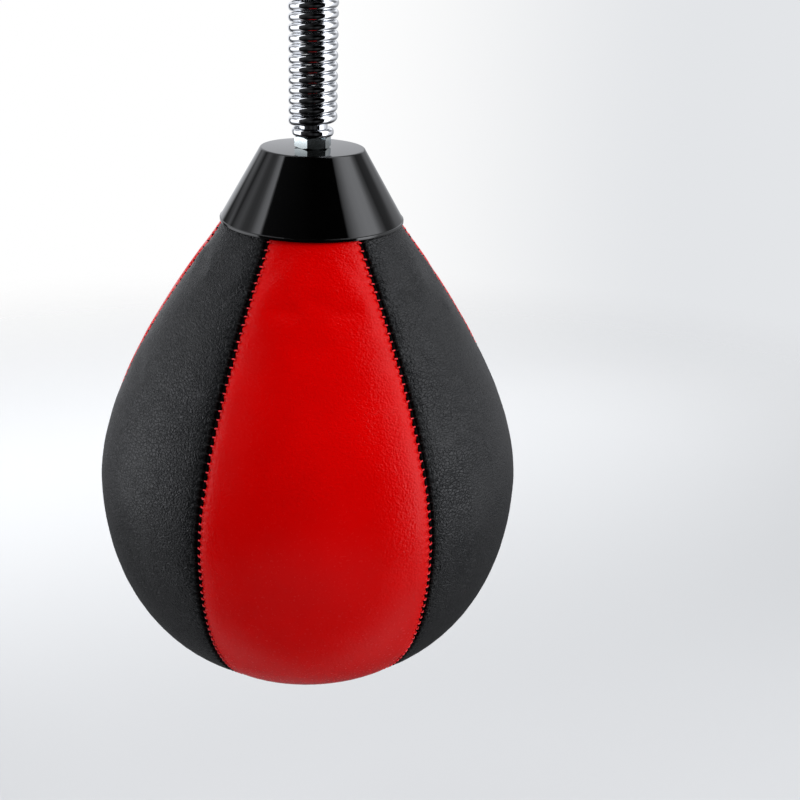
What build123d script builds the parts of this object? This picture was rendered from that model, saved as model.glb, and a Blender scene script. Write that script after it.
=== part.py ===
from build123d import *
import os
from math import atan2, cos, radians, sin, tan

# Speed bag on a close-wound spring, hung from a round ceiling plate. Millimetres.
# The origin is the centre of the plate's top face. +Z points up into the ceiling,
# everything else hangs below it, and the red panel that faces the user looks along -Y.

# Ceiling plate, boss and weld
PLATE_DIAMETER = 150.0
PLATE_THICKNESS = 5.0
PLATE_EDGE_RADIUS = 1.5
BOLT_CIRCLE = 120.0
BOLT_COUNT = 4
BOLT_HOLE = 9.0
BOSS_DIAMETER = 26.0
BOSS_HEIGHT = 14.0
WELD_LEG = 3.5

# M10 hardware
STUD_DIAMETER = 10.0
THREAD_CLEARANCE = 0.05
NUT_ACROSS_FLATS = 17.0
NUT_HEIGHT = 6.0
NUT_CHAMFER = 0.9
NUT_TURN = 11.3
BORE_CLEARANCE = 0.25

# Spring, its right-hand turns counted from the top, and the plug inside each end of it
SPRING_DIAMETER = 25.7
WIRE_DIAMETER = 4.9
COIL_PITCH = 5.05
TURNS = 30
WIRE_END_ANGLE = 135.0
TURN_BREAKS = {
    "spring_top_turns": (0, 7),
    "spring_side_bend_turns": (7, 16),
    "spring_front_bend_turns": (16, 21),
    "spring_twist_turns": (21, 24),
    "spring_bottom_turns": (24, 30),
}
PLUG_GRIP_TURNS = 3
PLUG_CLEARANCE = 0.2
SEAT_CLEARANCE = 0.2
FLANGE_REACH = 3.25
FLANGE_HEIGHT = 4.4
FLANGE_EDGE_RADIUS = 1.9

# Moulded cap
CAP_TOP_DIAMETER = 55.0
CAP_RIM_DIAMETER = 99.0
CAP_HEIGHT = 38.5
CAP_TOP_WALL = 3.0
CAP_SKIRT_WALL = 2.6
CAP_RIM_WALL = 1.3
CAP_LIP_HEIGHT = 1.8
CAP_LIP_PROUD = 0.5
CAP_EDGE_RADIUS = 1.2
CAP_BOSS_DIAMETER = 26.0
CAP_BOSS_DEPTH = 8.0

# Bag, its depths measured down from the cap's top face
BAG_DIAMETER = 240.0
BAG_DEPTH = 312.0
WAIST_DEPTH = 188.0
SHOULDER_ANGLE = 30.0
POLE_HANDLE = 70.0
WAIST_HANDLE_DOWN = 84.0
WAIST_HANDLE_UP = 59.0
SHOULDER_HANDLE = 18.0
NECK_DEPTH = 10.0
NECK_CLEARANCE = 0.3
PANEL_COUNT = 6
PANEL_THICKNESS = 2.6
PANEL_TIP_RADIUS = 6.2
FRONT_ANGLE = -90.0
SEAM_GAP = 2.2
WELT_CLEARANCE = 0.1
WELT_RECESS = 1.0
LINING_THICKNESS = 0.8
BLADDER_THICKNESS = 1.5
BLADDER_TOP_DEPTH = 40.0
BLADDER_CLEARANCE = 0.3
PATCH_RADIUS = 20.0
PATCH_THICKNESS = 1.2

# Clamp inside the neck
CLAMP_WEB = 6.0
CLAMP_WALL = 4.5
CLAMP_DEPTH = 34.0
CLAMP_CLEARANCE = 0.1
WASHER_DIAMETER = 32.0
WASHER_THICKNESS = 2.5
STUD_END_BELOW_NUT = 4.0

# Needle valve
VALVE_STEM_RADIUS = 5.8
VALVE_FLANGE_RADIUS = 9.0
VALVE_FLANGE_THICKNESS = 1.6
VALVE_NIPPLE_RADIUS = 3.0
NEEDLE_BORE_RADIUS = 0.8

# Heights worked out from the sizes above
PLATE_BOTTOM = -PLATE_THICKNESS
BOSS_BOTTOM = PLATE_BOTTOM - BOSS_HEIGHT
UPPER_FLANGE_TOP = BOSS_BOTTOM - NUT_HEIGHT
SPRING_TOP = UPPER_FLANGE_TOP - FLANGE_HEIGHT - SEAT_CLEARANCE
FIRST_WIRE_CENTRE = SPRING_TOP - WIRE_DIAMETER / 2
LAST_WIRE_CENTRE = FIRST_WIRE_CENTRE - TURNS * COIL_PITCH
SPRING_BOTTOM = LAST_WIRE_CENTRE - WIRE_DIAMETER / 2
LOWER_FLANGE_BOTTOM = SPRING_BOTTOM - SEAT_CLEARANCE - FLANGE_HEIGHT
CAP_TOP = LOWER_FLANGE_BOTTOM - NUT_HEIGHT
BAG_BOTTOM = CAP_TOP - BAG_DEPTH

# Radii worked out from the sizes above
SPRING_MEAN_RADIUS = (SPRING_DIAMETER - WIRE_DIAMETER) / 2
SPRING_BORE_RADIUS = SPRING_DIAMETER / 2 - WIRE_DIAMETER
THREADED_HOLE_RADIUS = STUD_DIAMETER / 2 + THREAD_CLEARANCE
STUD_BORE_RADIUS = STUD_DIAMETER / 2 + BORE_CLEARANCE
CAP_SKIRT_TOP_RADIUS = CAP_TOP_DIAMETER / 2 - CAP_SKIRT_WALL
CAP_RIM_BORE_RADIUS = CAP_RIM_DIAMETER / 2 - CAP_RIM_WALL
CAP_SLOPE = atan2(CAP_RIM_BORE_RADIUS - CAP_SKIRT_TOP_RADIUS, CAP_HEIGHT - CAP_TOP_WALL)
SHOULDER_SLOPE = radians(SHOULDER_ANGLE)
LINING_INSET = PANEL_THICKNESS + LINING_THICKNESS
BLADDER_INSET = LINING_INSET + BLADDER_CLEARANCE
PANEL_ANGLE = 360.0 / PANEL_COUNT

os.makedirs("parts", exist_ok=True)


def save(piece, label):
    """Name a finished piece and write its STEP file."""
    piece.part.label = label
    export_step(piece.part, f"parts/{label}.step")


def radial_plane(angle):
    """The upright plane through the axis at this angle, its origin on the cap's top face."""
    outward = (cos(radians(angle)), sin(radians(angle)), 0)
    normal = (sin(radians(angle)), -cos(radians(angle)), 0)
    return Plane(origin=(0, 0, CAP_TOP), x_dir=outward, z_dir=normal)


def rim_point(inset):
    """Where a layer of the bag wall turns from the shoulder into the neck under the cap."""
    middle_slope = (SHOULDER_SLOPE + CAP_SLOPE) / 2
    reach = inset / cos((SHOULDER_SLOPE - CAP_SLOPE) / 2)
    radius = CAP_RIM_BORE_RADIUS - NECK_CLEARANCE - reach * cos(middle_slope)
    return Vector(radius, -CAP_HEIGHT - reach * sin(middle_slope))


def neck_point(inset, depth):
    """A point of that layer's straight neck, at a depth below the cap's top face."""
    rim = rim_point(inset)
    return Vector(rim.X - (-rim.Y - depth) * tan(CAP_SLOPE), -depth)


def bag_outline(inset):
    """Draw one layer of the bag from its bottom pole up to the end of its neck."""
    pole = Vector(0, inset - BAG_DEPTH)
    waist = Vector(BAG_DIAMETER / 2 - inset, -WAIST_DEPTH)
    rim = rim_point(inset)
    wide = waist.X / (BAG_DIAMETER / 2)
    low = (waist.Y - pole.Y) / (BAG_DEPTH - WAIST_DEPTH)
    high = (rim.Y - waist.Y) / (WAIST_DEPTH - CAP_HEIGHT)
    shoulder = Vector(sin(SHOULDER_SLOPE), -cos(SHOULDER_SLOPE)) * SHOULDER_HANDLE * high
    Bezier(
        pole,
        pole + Vector(POLE_HANDLE * wide, 0),
        waist - Vector(0, WAIST_HANDLE_DOWN * low),
        waist,
    )
    Bezier(waist, waist + Vector(0, WAIST_HANDLE_UP * high), rim + shoulder, rim)
    Line(rim, neck_point(inset, NECK_DEPTH))


def wall_outline(outer_inset, inner_inset):
    """Draw the closed section of the bag wall between two layers."""
    bag_outline(outer_inset)
    bag_outline(inner_inset)
    Line(neck_point(outer_inset, NECK_DEPTH), neck_point(inner_inset, NECK_DEPTH))
    Line((0, outer_inset - BAG_DEPTH), (0, inner_inset - BAG_DEPTH))


def solid_outline(inset):
    """Draw the filled half section of the bag inside one layer, flat at its top."""
    bag_outline(inset)
    top = neck_point(inset, NECK_DEPTH)
    Polyline((0, inset - BAG_DEPTH), (0, -NECK_DEPTH), (top.X, top.Y))


def ceiling_plate():
    """Round steel plate that is screwed to a joist, its holes left open."""
    with BuildPart() as plate:
        with BuildSketch(Plane.XY.offset(PLATE_BOTTOM)):
            Circle(PLATE_DIAMETER / 2)
            with PolarLocations(BOLT_CIRCLE / 2, BOLT_COUNT, start_angle=45):
                Circle(BOLT_HOLE / 2, mode=Mode.SUBTRACT)
        extrude(amount=PLATE_THICKNESS)
        rim = plate.edges().filter_by(GeomType.CIRCLE).filter_by(lambda edge: edge.radius > BOLT_CIRCLE / 2)
        fillet(rim.sort_by(Axis.Z)[0], PLATE_EDGE_RADIUS)
    save(plate, "ceiling_plate")


def threaded_boss():
    """Steel boss under the plate, tapped M10 right through."""
    with BuildPart() as boss:
        with BuildSketch(Plane.XY.offset(BOSS_BOTTOM)):
            Circle(BOSS_DIAMETER / 2)
            Circle(THREADED_HOLE_RADIUS, mode=Mode.SUBTRACT)
        extrude(amount=BOSS_HEIGHT)
        lower_rim = boss.edges().filter_by(GeomType.CIRCLE).group_by(Axis.Z)[0].sort_by(SortBy.RADIUS)[-1]
        chamfer(lower_rim, 1.0)
    save(boss, "threaded_boss")


def boss_weld():
    """Fillet weld all round the boss."""
    inner = BOSS_DIAMETER / 2
    with BuildPart() as weld:
        with BuildSketch(Plane.XZ):
            with BuildLine():
                Line((inner, PLATE_BOTTOM), (inner + WELD_LEG, PLATE_BOTTOM))
                ThreePointArc(
                    (inner + WELD_LEG, PLATE_BOTTOM),
                    (inner + 0.42 * WELD_LEG, PLATE_BOTTOM - 0.42 * WELD_LEG),
                    (inner, PLATE_BOTTOM - WELD_LEG),
                )
                Line((inner, PLATE_BOTTOM - WELD_LEG), (inner, PLATE_BOTTOM))
            make_face()
        revolve(axis=Axis.Z)
    save(weld, "boss_weld")


def lock_nut(label, bottom):
    """M10 hexagon nut with both faces chamfered, standing on the height given."""
    corner = NUT_ACROSS_FLATS / 2 / cos(radians(30))
    face_radius = NUT_ACROSS_FLATS / 2 - 0.2
    with BuildPart() as nut:
        with BuildSketch(Plane.XY.offset(bottom)):
            turn = FRONT_ANGLE + NUT_TURN + 30
            RegularPolygon(NUT_ACROSS_FLATS / 2, 6, major_radius=False, rotation=turn)
            Circle(THREADED_HOLE_RADIUS, mode=Mode.SUBTRACT)
        extrude(amount=NUT_HEIGHT)
        with BuildSketch(Plane.XZ):
            with BuildLine():
                Polyline(
                    (0, bottom),
                    (face_radius, bottom),
                    (corner + 0.1, bottom + NUT_CHAMFER),
                    (corner + 0.1, bottom + NUT_HEIGHT - NUT_CHAMFER),
                    (face_radius, bottom + NUT_HEIGHT),
                    (0, bottom + NUT_HEIGHT),
                    close=True,
                )
            make_face()
        revolve(axis=Axis.Z, mode=Mode.INTERSECT)
    save(nut, label)


def spring_plug(label, flange_face, towards_spring, stud_length):
    """Turned plug: a barrel inside the coils, a rounded flange and an M10 stud on the far side."""
    barrel = SPRING_BORE_RADIUS - PLUG_CLEARANCE
    barrel_end = FLANGE_HEIGHT + SEAT_CLEARANCE + PLUG_GRIP_TURNS * COIL_PITCH
    flange = barrel + FLANGE_REACH
    stud = STUD_DIAMETER / 2
    outline = [
        (0, -stud_length),
        (stud - 1, -stud_length),
        (stud, 1 - stud_length),
        (stud, 0),
        (flange, 0),
        (flange, FLANGE_HEIGHT),
        (barrel, FLANGE_HEIGHT),
        (barrel, barrel_end - 1),
        (barrel - 1, barrel_end),
        (0, barrel_end),
    ]
    with BuildPart() as plug:
        with BuildSketch(Plane.XZ) as half:
            with BuildLine():
                points = [(x, flange_face + towards_spring * z) for x, z in outline]
                Polyline(*points, close=True)
            make_face()
            rim = half.vertices().filter_by(lambda corner: corner.X > flange - 0.01)
            fillet(rim, FLANGE_EDGE_RADIUS)
        revolve(axis=Axis.Z)
    save(plug, label)


def spring_turns(label, first_turn, last_turn):
    """One length of the coiled wire, cut square at whole turns so that the lengths meet."""
    low_end = FIRST_WIRE_CENTRE - last_turn * COIL_PITCH
    with BuildPart() as turns:
        with BuildLine() as path:
            Helix(COIL_PITCH, (last_turn - first_turn) * COIL_PITCH, SPRING_MEAN_RADIUS, center=(0, 0, low_end))
        with BuildSketch(Plane(origin=path.line @ 0, z_dir=path.line % 0)):
            Circle(WIRE_DIAMETER / 2)
        sweep(is_frenet=True)
    with BuildPart() as turned:
        add(turns.part, rotation=(0, 0, WIRE_END_ANGLE))
    save(turned, label)


def top_cap():
    """Moulded cone that covers the neck, with a fine lip at its rim and a boss round the stud."""
    lip_top = CAP_LIP_HEIGHT - CAP_HEIGHT
    rim = CAP_RIM_DIAMETER / 2
    slope = (rim - CAP_LIP_PROUD - CAP_TOP_DIAMETER / 2) / (CAP_HEIGHT - CAP_LIP_HEIGHT)
    with BuildPart() as cap:
        with BuildSketch(radial_plane(0)) as half:
            with BuildLine():
                Polyline(
                    (STUD_BORE_RADIUS, 0),
                    (CAP_TOP_DIAMETER / 2, 0),
                    (rim - CAP_LIP_PROUD, lip_top),
                    (rim, lip_top - slope * CAP_LIP_PROUD),
                    (rim, -CAP_HEIGHT),
                    (CAP_RIM_BORE_RADIUS, -CAP_HEIGHT),
                    (CAP_SKIRT_TOP_RADIUS, -CAP_TOP_WALL),
                    (CAP_BOSS_DIAMETER / 2, -CAP_TOP_WALL),
                    (CAP_BOSS_DIAMETER / 2, -CAP_BOSS_DEPTH),
                    (STUD_BORE_RADIUS, -CAP_BOSS_DEPTH),
                    close=True,
                )
            make_face()
            top_corners = half.vertices().filter_by(lambda corner: corner.Y > -0.01)
            fillet(top_corners.sort_by(Axis.X)[-1], CAP_EDGE_RADIUS)
        revolve(axis=Axis.Z)
    save(cap, "top_cap")


def neck_clamp():
    """Moulded cone inside the neck that pinches the bag wall against the cap."""
    inset = LINING_INSET + CLAMP_CLEARANCE
    web_bottom = CAP_BOSS_DEPTH + CLAMP_WEB
    top = neck_point(inset, CAP_BOSS_DEPTH)
    skirt = neck_point(inset, CLAMP_DEPTH)
    inner_top = neck_point(inset + CLAMP_WALL, web_bottom)
    inner_skirt = neck_point(inset + CLAMP_WALL, CLAMP_DEPTH)
    with BuildPart() as clamp:
        with BuildSketch(radial_plane(0)):
            with BuildLine():
                Polyline(
                    (STUD_BORE_RADIUS, -CAP_BOSS_DEPTH),
                    (top.X, top.Y),
                    (skirt.X, skirt.Y),
                    (inner_skirt.X, inner_skirt.Y),
                    (inner_top.X, inner_top.Y),
                    (STUD_BORE_RADIUS, -web_bottom),
                    close=True,
                )
            make_face()
        revolve(axis=Axis.Z)
    save(clamp, "neck_clamp")


def clamp_washer():
    """Steel washer that spreads the load of the inner nut."""
    top = CAP_TOP - CAP_BOSS_DEPTH - CLAMP_WEB
    with BuildPart() as washer:
        with BuildSketch(Plane.XY.offset(top - WASHER_THICKNESS)):
            Circle(WASHER_DIAMETER / 2)
            Circle(STUD_BORE_RADIUS, mode=Mode.SUBTRACT)
        extrude(amount=WASHER_THICKNESS)
    save(washer, "clamp_washer")


def bag_panel(label, centre_angle):
    """One gore of the cover: a sixth of the pear-shaped wall, cut back for the seams beside it."""
    start = centre_angle - PANEL_ANGLE / 2
    with BuildPart() as panel:
        with BuildSketch(radial_plane(start)):
            with BuildLine():
                wall_outline(0, PANEL_THICKNESS)
            make_face()
        revolve(axis=Axis.Z, revolution_arc=PANEL_ANGLE)
        with BuildSketch(Plane.XY.offset(BAG_BOTTOM - 1)):
            for edge_angle in (start, start + PANEL_ANGLE):
                Rectangle(BAG_DIAMETER, SEAM_GAP, rotation=edge_angle, align=(Align.MIN, Align.CENTER))
            Circle(PANEL_TIP_RADIUS)
        extrude(amount=BAG_DEPTH, mode=Mode.SUBTRACT)
    save(panel, label)


def seam_welt(label, angle):
    """Narrow strip sewn into the groove between two panels, set below their faces."""
    with BuildPart() as welt:
        with BuildSketch(radial_plane(angle)):
            with BuildLine():
                wall_outline(WELT_RECESS, PANEL_THICKNESS)
            make_face()
        extrude(amount=SEAM_GAP / 2 - WELT_CLEARANCE, both=True)
        with BuildSketch(Plane.XY.offset(BAG_BOTTOM - 1)):
            Circle(PANEL_TIP_RADIUS)
        extrude(amount=BAG_DEPTH / 2, mode=Mode.SUBTRACT)
    save(welt, label)


def bag_lining():
    """Woven cloth glued to the inside of the cover."""
    with BuildPart() as lining:
        with BuildSketch(radial_plane(0)):
            with BuildLine():
                wall_outline(PANEL_THICKNESS, LINING_INSET)
            make_face()
        revolve(axis=Axis.Z)
        with BuildSketch(Plane.XY.offset(BAG_BOTTOM)):
            Circle(PANEL_TIP_RADIUS)
        extrude(amount=BAG_DEPTH / 2, mode=Mode.SUBTRACT)
    save(lining, "bag_lining")


def bladder():
    """Rubber air bladder, flat on top where it meets the clamp, open at the valve."""
    with BuildPart() as skin:
        with BuildSketch(radial_plane(0)):
            with BuildLine():
                solid_outline(BLADDER_INSET)
            make_face()
        revolve(axis=Axis.Z)
        with BuildSketch(Plane.XY.offset(CAP_TOP - BLADDER_TOP_DEPTH)):
            Circle(BAG_DIAMETER)
        extrude(amount=BLADDER_TOP_DEPTH, mode=Mode.SUBTRACT)
    with BuildPart() as air:
        with BuildSketch(radial_plane(0)):
            with BuildLine():
                solid_outline(BLADDER_INSET + BLADDER_THICKNESS)
            make_face()
        revolve(axis=Axis.Z)
        with BuildSketch(Plane.XY.offset(CAP_TOP - BLADDER_TOP_DEPTH - BLADDER_THICKNESS)):
            Circle(BAG_DIAMETER)
        extrude(amount=BAG_DEPTH, mode=Mode.SUBTRACT)
    with BuildPart() as shell:
        add(skin.part)
        add(air.part, mode=Mode.SUBTRACT)
        with BuildSketch(Plane.XY.offset(BAG_BOTTOM)):
            Circle(PANEL_TIP_RADIUS)
        extrude(amount=BAG_DEPTH / 2, mode=Mode.SUBTRACT)
    save(shell, "bladder")


def air_valve():
    """Rubber needle valve: a flange inside the bladder, a stem through the wall and a nipple."""
    flange_bottom = BAG_BOTTOM + BLADDER_INSET + BLADDER_THICKNESS + 0.5
    with BuildPart() as valve:
        with BuildSketch(Plane.XZ):
            with BuildLine():
                Polyline(
                    (NEEDLE_BORE_RADIUS, BAG_BOTTOM - PATCH_THICKNESS),
                    (VALVE_NIPPLE_RADIUS, BAG_BOTTOM - PATCH_THICKNESS),
                    (VALVE_NIPPLE_RADIUS, BAG_BOTTOM + 0.5),
                    (VALVE_STEM_RADIUS, BAG_BOTTOM + 0.5),
                    (VALVE_STEM_RADIUS, flange_bottom),
                    (VALVE_FLANGE_RADIUS, flange_bottom),
                    (VALVE_FLANGE_RADIUS, flange_bottom + VALVE_FLANGE_THICKNESS),
                    (NEEDLE_BORE_RADIUS, flange_bottom + VALVE_FLANGE_THICKNESS),
                    close=True,
                )
            make_face()
        revolve(axis=Axis.Z)
    save(valve, "air_valve")


def bottom_patch():
    """Round leather patch sewn over the panel tips, with a hole for the valve nipple."""
    with BuildPart() as patch:
        with BuildSketch(radial_plane(0)):
            with BuildLine():
                wall_outline(-PATCH_THICKNESS, 0)
            make_face()
        revolve(axis=Axis.Z)
        with BuildSketch(Plane.XY.offset(BAG_BOTTOM - 2 * PATCH_THICKNESS)):
            Circle(PATCH_RADIUS)
            Circle(VALVE_NIPPLE_RADIUS + BORE_CLEARANCE, mode=Mode.SUBTRACT)
        extrude(amount=BAG_DEPTH / 2, mode=Mode.INTERSECT)
    save(patch, "bottom_patch")


ceiling_plate()
threaded_boss()
boss_weld()
lock_nut("upper_lock_nut", UPPER_FLANGE_TOP)
spring_plug("upper_spring_plug", UPPER_FLANGE_TOP, -1, NUT_HEIGHT + BOSS_HEIGHT - 1)
for label, (first_turn, last_turn) in TURN_BREAKS.items():
    spring_turns(label, first_turn, last_turn)
inner_nut_bottom = CAP_TOP - CAP_BOSS_DEPTH - CLAMP_WEB - WASHER_THICKNESS - NUT_HEIGHT
lower_stud_length = LOWER_FLANGE_BOTTOM - inner_nut_bottom + STUD_END_BELOW_NUT
spring_plug("lower_spring_plug", LOWER_FLANGE_BOTTOM, 1, lower_stud_length)
lock_nut("lower_lock_nut", CAP_TOP)
top_cap()
neck_clamp()
clamp_washer()
lock_nut("clamp_nut", inner_nut_bottom)
for index in range(PANEL_COUNT):
    colour = "red" if index % 2 == 0 else "black"
    centre = FRONT_ANGLE + index * PANEL_ANGLE
    bag_panel(f"{colour}_panel_{index // 2 + 1}", centre)
    seam_welt(f"seam_welt_{index + 1}", centre + PANEL_ANGLE / 2)
bag_lining()
bladder()
air_valve()
bottom_patch()
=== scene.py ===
"""Leather speed bag on a close-wound spring under a small ceiling mount.

Each sub-assembly is a class that builds its own meshes in the part's frame, in
metres, and gives them their finishes. The bag carries no lettering.
"""

import logging
import math
from dataclasses import dataclass, field
from enum import Enum
from typing import Any, Iterable, Sequence

import bpy
import numpy as np
from mathutils import Matrix, Vector


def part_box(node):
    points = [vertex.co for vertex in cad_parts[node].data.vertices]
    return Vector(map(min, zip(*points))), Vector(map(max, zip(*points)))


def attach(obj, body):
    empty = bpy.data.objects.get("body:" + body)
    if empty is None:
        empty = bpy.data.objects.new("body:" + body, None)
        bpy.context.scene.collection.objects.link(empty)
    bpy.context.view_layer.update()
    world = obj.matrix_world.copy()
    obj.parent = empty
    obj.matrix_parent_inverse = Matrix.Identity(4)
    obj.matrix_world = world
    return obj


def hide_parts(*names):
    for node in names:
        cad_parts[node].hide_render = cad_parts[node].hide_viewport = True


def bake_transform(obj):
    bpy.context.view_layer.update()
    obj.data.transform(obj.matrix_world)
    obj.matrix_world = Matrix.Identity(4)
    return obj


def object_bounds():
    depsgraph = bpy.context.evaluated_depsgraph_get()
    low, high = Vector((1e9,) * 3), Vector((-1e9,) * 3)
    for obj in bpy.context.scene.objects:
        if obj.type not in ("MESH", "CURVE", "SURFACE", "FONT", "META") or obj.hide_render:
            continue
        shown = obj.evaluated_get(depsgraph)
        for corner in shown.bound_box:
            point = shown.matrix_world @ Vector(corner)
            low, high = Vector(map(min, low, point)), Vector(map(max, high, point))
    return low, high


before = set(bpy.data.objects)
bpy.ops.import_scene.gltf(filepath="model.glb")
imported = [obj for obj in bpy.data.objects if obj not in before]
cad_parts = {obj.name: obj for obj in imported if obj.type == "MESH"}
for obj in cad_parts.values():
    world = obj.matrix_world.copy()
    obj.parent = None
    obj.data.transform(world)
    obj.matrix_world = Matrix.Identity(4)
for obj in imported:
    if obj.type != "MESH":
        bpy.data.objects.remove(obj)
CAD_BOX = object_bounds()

MM = 0.001
LOG = logging.getLogger("speed_bag")


# ---------------------------------------------------------------- small helpers


def linear(code: str) -> tuple[float, float, float, float]:
    """Turn an sRGB hex colour into linear RGBA.

    Args:
        code: Six hex digits after a hash sign.

    Returns:
        The colour as four linear numbers, opaque.
    """
    parts = [int(code[i : i + 2], 16) / 255 for i in (1, 3, 5)]
    low = [c / 12.92 if c <= 0.04045 else ((c + 0.055) / 1.055) ** 2.4 for c in parts]
    return (*low, 1.0)


def feed(node: bpy.types.Node, inputs: dict[Any, Any]) -> None:
    """Set a node's inputs.

    Args:
        node: The node.
        inputs: Input name or number to a value, or to the output that feeds it.
    """
    for key, value in inputs.items():
        socket = node.inputs[key]
        if isinstance(value, bpy.types.NodeSocket):
            node.id_data.links.new(value, socket)
        else:
            socket.default_value = value


def add_node(
    tree: bpy.types.NodeTree, kind: str, inputs: dict[Any, Any] | None = None, **settings: Any
) -> bpy.types.Node:
    """Add one node, set it up and link its inputs.

    Args:
        tree: The tree that gets the node.
        kind: The node's type name.
        inputs: Input name or number to a value, or to the output that feeds it.
        **settings: Properties of the node itself.

    Returns:
        The new node.
    """
    node = tree.nodes.new(kind)
    for key, value in settings.items():
        setattr(node, key, value)
    feed(node, inputs or {})
    return node


def add_maths(tree: bpy.types.NodeTree, operation: str, *values: Any) -> bpy.types.NodeSocket:
    """Add a calculation with numbers or sockets and return its result."""
    return add_node(tree, "ShaderNodeMath", dict(enumerate(values)), operation=operation).outputs[0]


def add_range(
    tree: bpy.types.NodeTree,
    value: Any,
    low: float,
    high: float,
    to_low: float = 0.0,
    to_high: float = 1.0,
    smooth: bool = False,
) -> bpy.types.NodeSocket:
    """Stretch the values from low to high over another range, and keep to its ends."""
    ranges = {0: value, 1: low, 2: high, 3: to_low, 4: to_high}
    kind = "SMOOTHSTEP" if smooth else "LINEAR"
    return add_node(tree, "ShaderNodeMapRange", ranges, interpolation_type=kind).outputs[0]


def add_mix(tree: bpy.types.NodeTree, share: Any, first: Any, second: Any) -> bpy.types.NodeSocket:
    """Mix two colours; share is how much of the second there is."""
    return add_node(tree, "ShaderNodeMix", {0: share, 6: first, 7: second}, data_type="RGBA").outputs[2]


def add_value_mix(tree: bpy.types.NodeTree, share: Any, first: Any, second: Any) -> bpy.types.NodeSocket:
    """Mix two numbers; share is how much of the second there is."""
    return add_node(tree, "ShaderNodeMix", {0: share, 2: first, 3: second}, data_type="FLOAT").outputs[0]


def add_noise(
    tree: bpy.types.NodeTree, place: Any, size_mm: float, detail: float, roughness: float = 0.5
) -> bpy.types.Node:
    """Add cloudy noise whose features have one real size."""
    inputs = {"Vector": place, "Scale": per_metre(size_mm), "Detail": detail, "Roughness": roughness}
    return add_node(tree, "ShaderNodeTexNoise", inputs)


def add_bump(
    tree: bpy.types.NodeTree, height: Any, distance: float, normal: Any = None
) -> bpy.types.NodeSocket:
    """Raise the surface by a texture, on top of an earlier bump if there is one."""
    inputs = {"Height": height, "Distance": distance, "Strength": 1.0}
    if normal is not None:
        inputs["Normal"] = normal
    return add_node(tree, "ShaderNodeBump", inputs).outputs[0]


def per_metre(size_mm: float) -> float:
    """Texture scale whose features are about this many millimetres across."""
    return 1.0 / (size_mm * MM)


def make_object(
    name: str, points: Iterable[Sequence[float]], faces: Iterable[Sequence[int]], crease: float = 35.0
) -> bpy.types.Object:
    """Make a smooth-shaded mesh object at the origin.

    Args:
        name: Name of the piece.
        points: Vertices in metres, in the part's frame.
        faces: Vertex numbers of each face.
        crease: Edges that turn more than this many degrees stay sharp.

    Returns:
        The linked object.
    """
    mesh = bpy.data.meshes.new(name)
    mesh.from_pydata([tuple(map(float, p)) for p in points], [], [tuple(map(int, f)) for f in faces])
    mesh.validate()
    mesh.polygons.foreach_set("use_smooth", [True] * len(mesh.polygons))
    mesh.set_sharp_from_angle(angle=math.radians(crease))
    piece = bpy.data.objects.new(name, mesh)
    bpy.context.scene.collection.objects.link(piece)
    return piece


def lathe(
    name: str, outline: Sequence[tuple[float, float]], segments: int, crease: float = 35.0
) -> bpy.types.Object:
    """Turn a closed half section about the upright axis.

    Args:
        name: Name of the piece.
        outline: Corners (radius, height) in metres, anticlockwise with the radius to the right.
        segments: Number of steps round the axis.
        crease: Edges sharper than this many degrees stay sharp.

    Returns:
        The closed solid of revolution.
    """
    points: list[tuple[float, float, float]] = []
    rings: list[list[int]] = []
    for radius, height in outline:
        if radius < 1e-7:
            rings.append([len(points)] * segments)
            points.append((0.0, 0.0, height))
            continue
        rings.append(list(range(len(points), len(points) + segments)))
        for step in range(segments):
            turn = 2 * math.pi * step / segments
            points.append((radius * math.cos(turn), radius * math.sin(turn), height))
    faces = []
    for this, following in zip(rings, rings[1:] + rings[:1]):
        for step in range(segments):
            after = (step + 1) % segments
            loop = [this[step], this[after], following[after], following[step]]
            loop = list(dict.fromkeys(loop))
            if len(loop) > 2:
                faces.append(loop)
    return make_object(name, points, faces, crease)


def tube_faces(rows: int, columns: int, flip: bool = False) -> list[tuple[int, ...]]:
    """Join rings of points into a closed tube with a cap at each end.

    Args:
        rows: Number of rings.
        columns: Points in each ring.
        flip: Turn every face round.

    Returns:
        Vertex numbers of each face.
    """
    faces = []
    for row in range(rows - 1):
        for column in range(columns):
            here, beside = row * columns + column, row * columns + (column + 1) % columns
            loop = (here, here + columns, beside + columns, beside)
            faces.append((loop[0], loop[3], loop[2], loop[1]) if flip else loop)
    ends = [tuple(range(columns)), tuple(range((rows - 1) * columns, rows * columns))[::-1]]
    return faces + [end[::-1] if flip else end for end in ends]


def rounded(outline: Sequence[tuple[float, float]], radii: dict[int, float], steps: int = 6) -> list[
    tuple[float, float]
]:
    """Round chosen corners of a closed outline.

    Args:
        outline: Corners of the outline.
        radii: Corner number to radius.
        steps: Straight steps in each rounded corner.

    Returns:
        The outline with arcs in place of those corners.
    """
    result: list[tuple[float, float]] = []
    count = len(outline)
    for index, corner in enumerate(outline):
        if index not in radii:
            result.append(corner)
            continue
        here = np.array(corner)
        before = np.array(outline[index - 1]) - here
        after = np.array(outline[(index + 1) % count]) - here
        before, after = before / np.linalg.norm(before), after / np.linalg.norm(after)
        half = math.acos(float(np.clip(before @ after, -1, 1))) / 2
        bisector = (before + after) / np.linalg.norm(before + after)
        centre = here + bisector * radii[index] / math.sin(half)
        first = here + before * radii[index] / math.tan(half) - centre
        last = here + after * radii[index] / math.tan(half) - centre
        sweep = math.acos(float(np.clip(first @ last / (first @ first), -1, 1)))
        for step in range(steps + 1):
            t = step / steps
            blend = (math.sin((1 - t) * sweep) * first + math.sin(t * sweep) * last) / math.sin(sweep)
            result.append(tuple(centre + blend))
    return result


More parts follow.
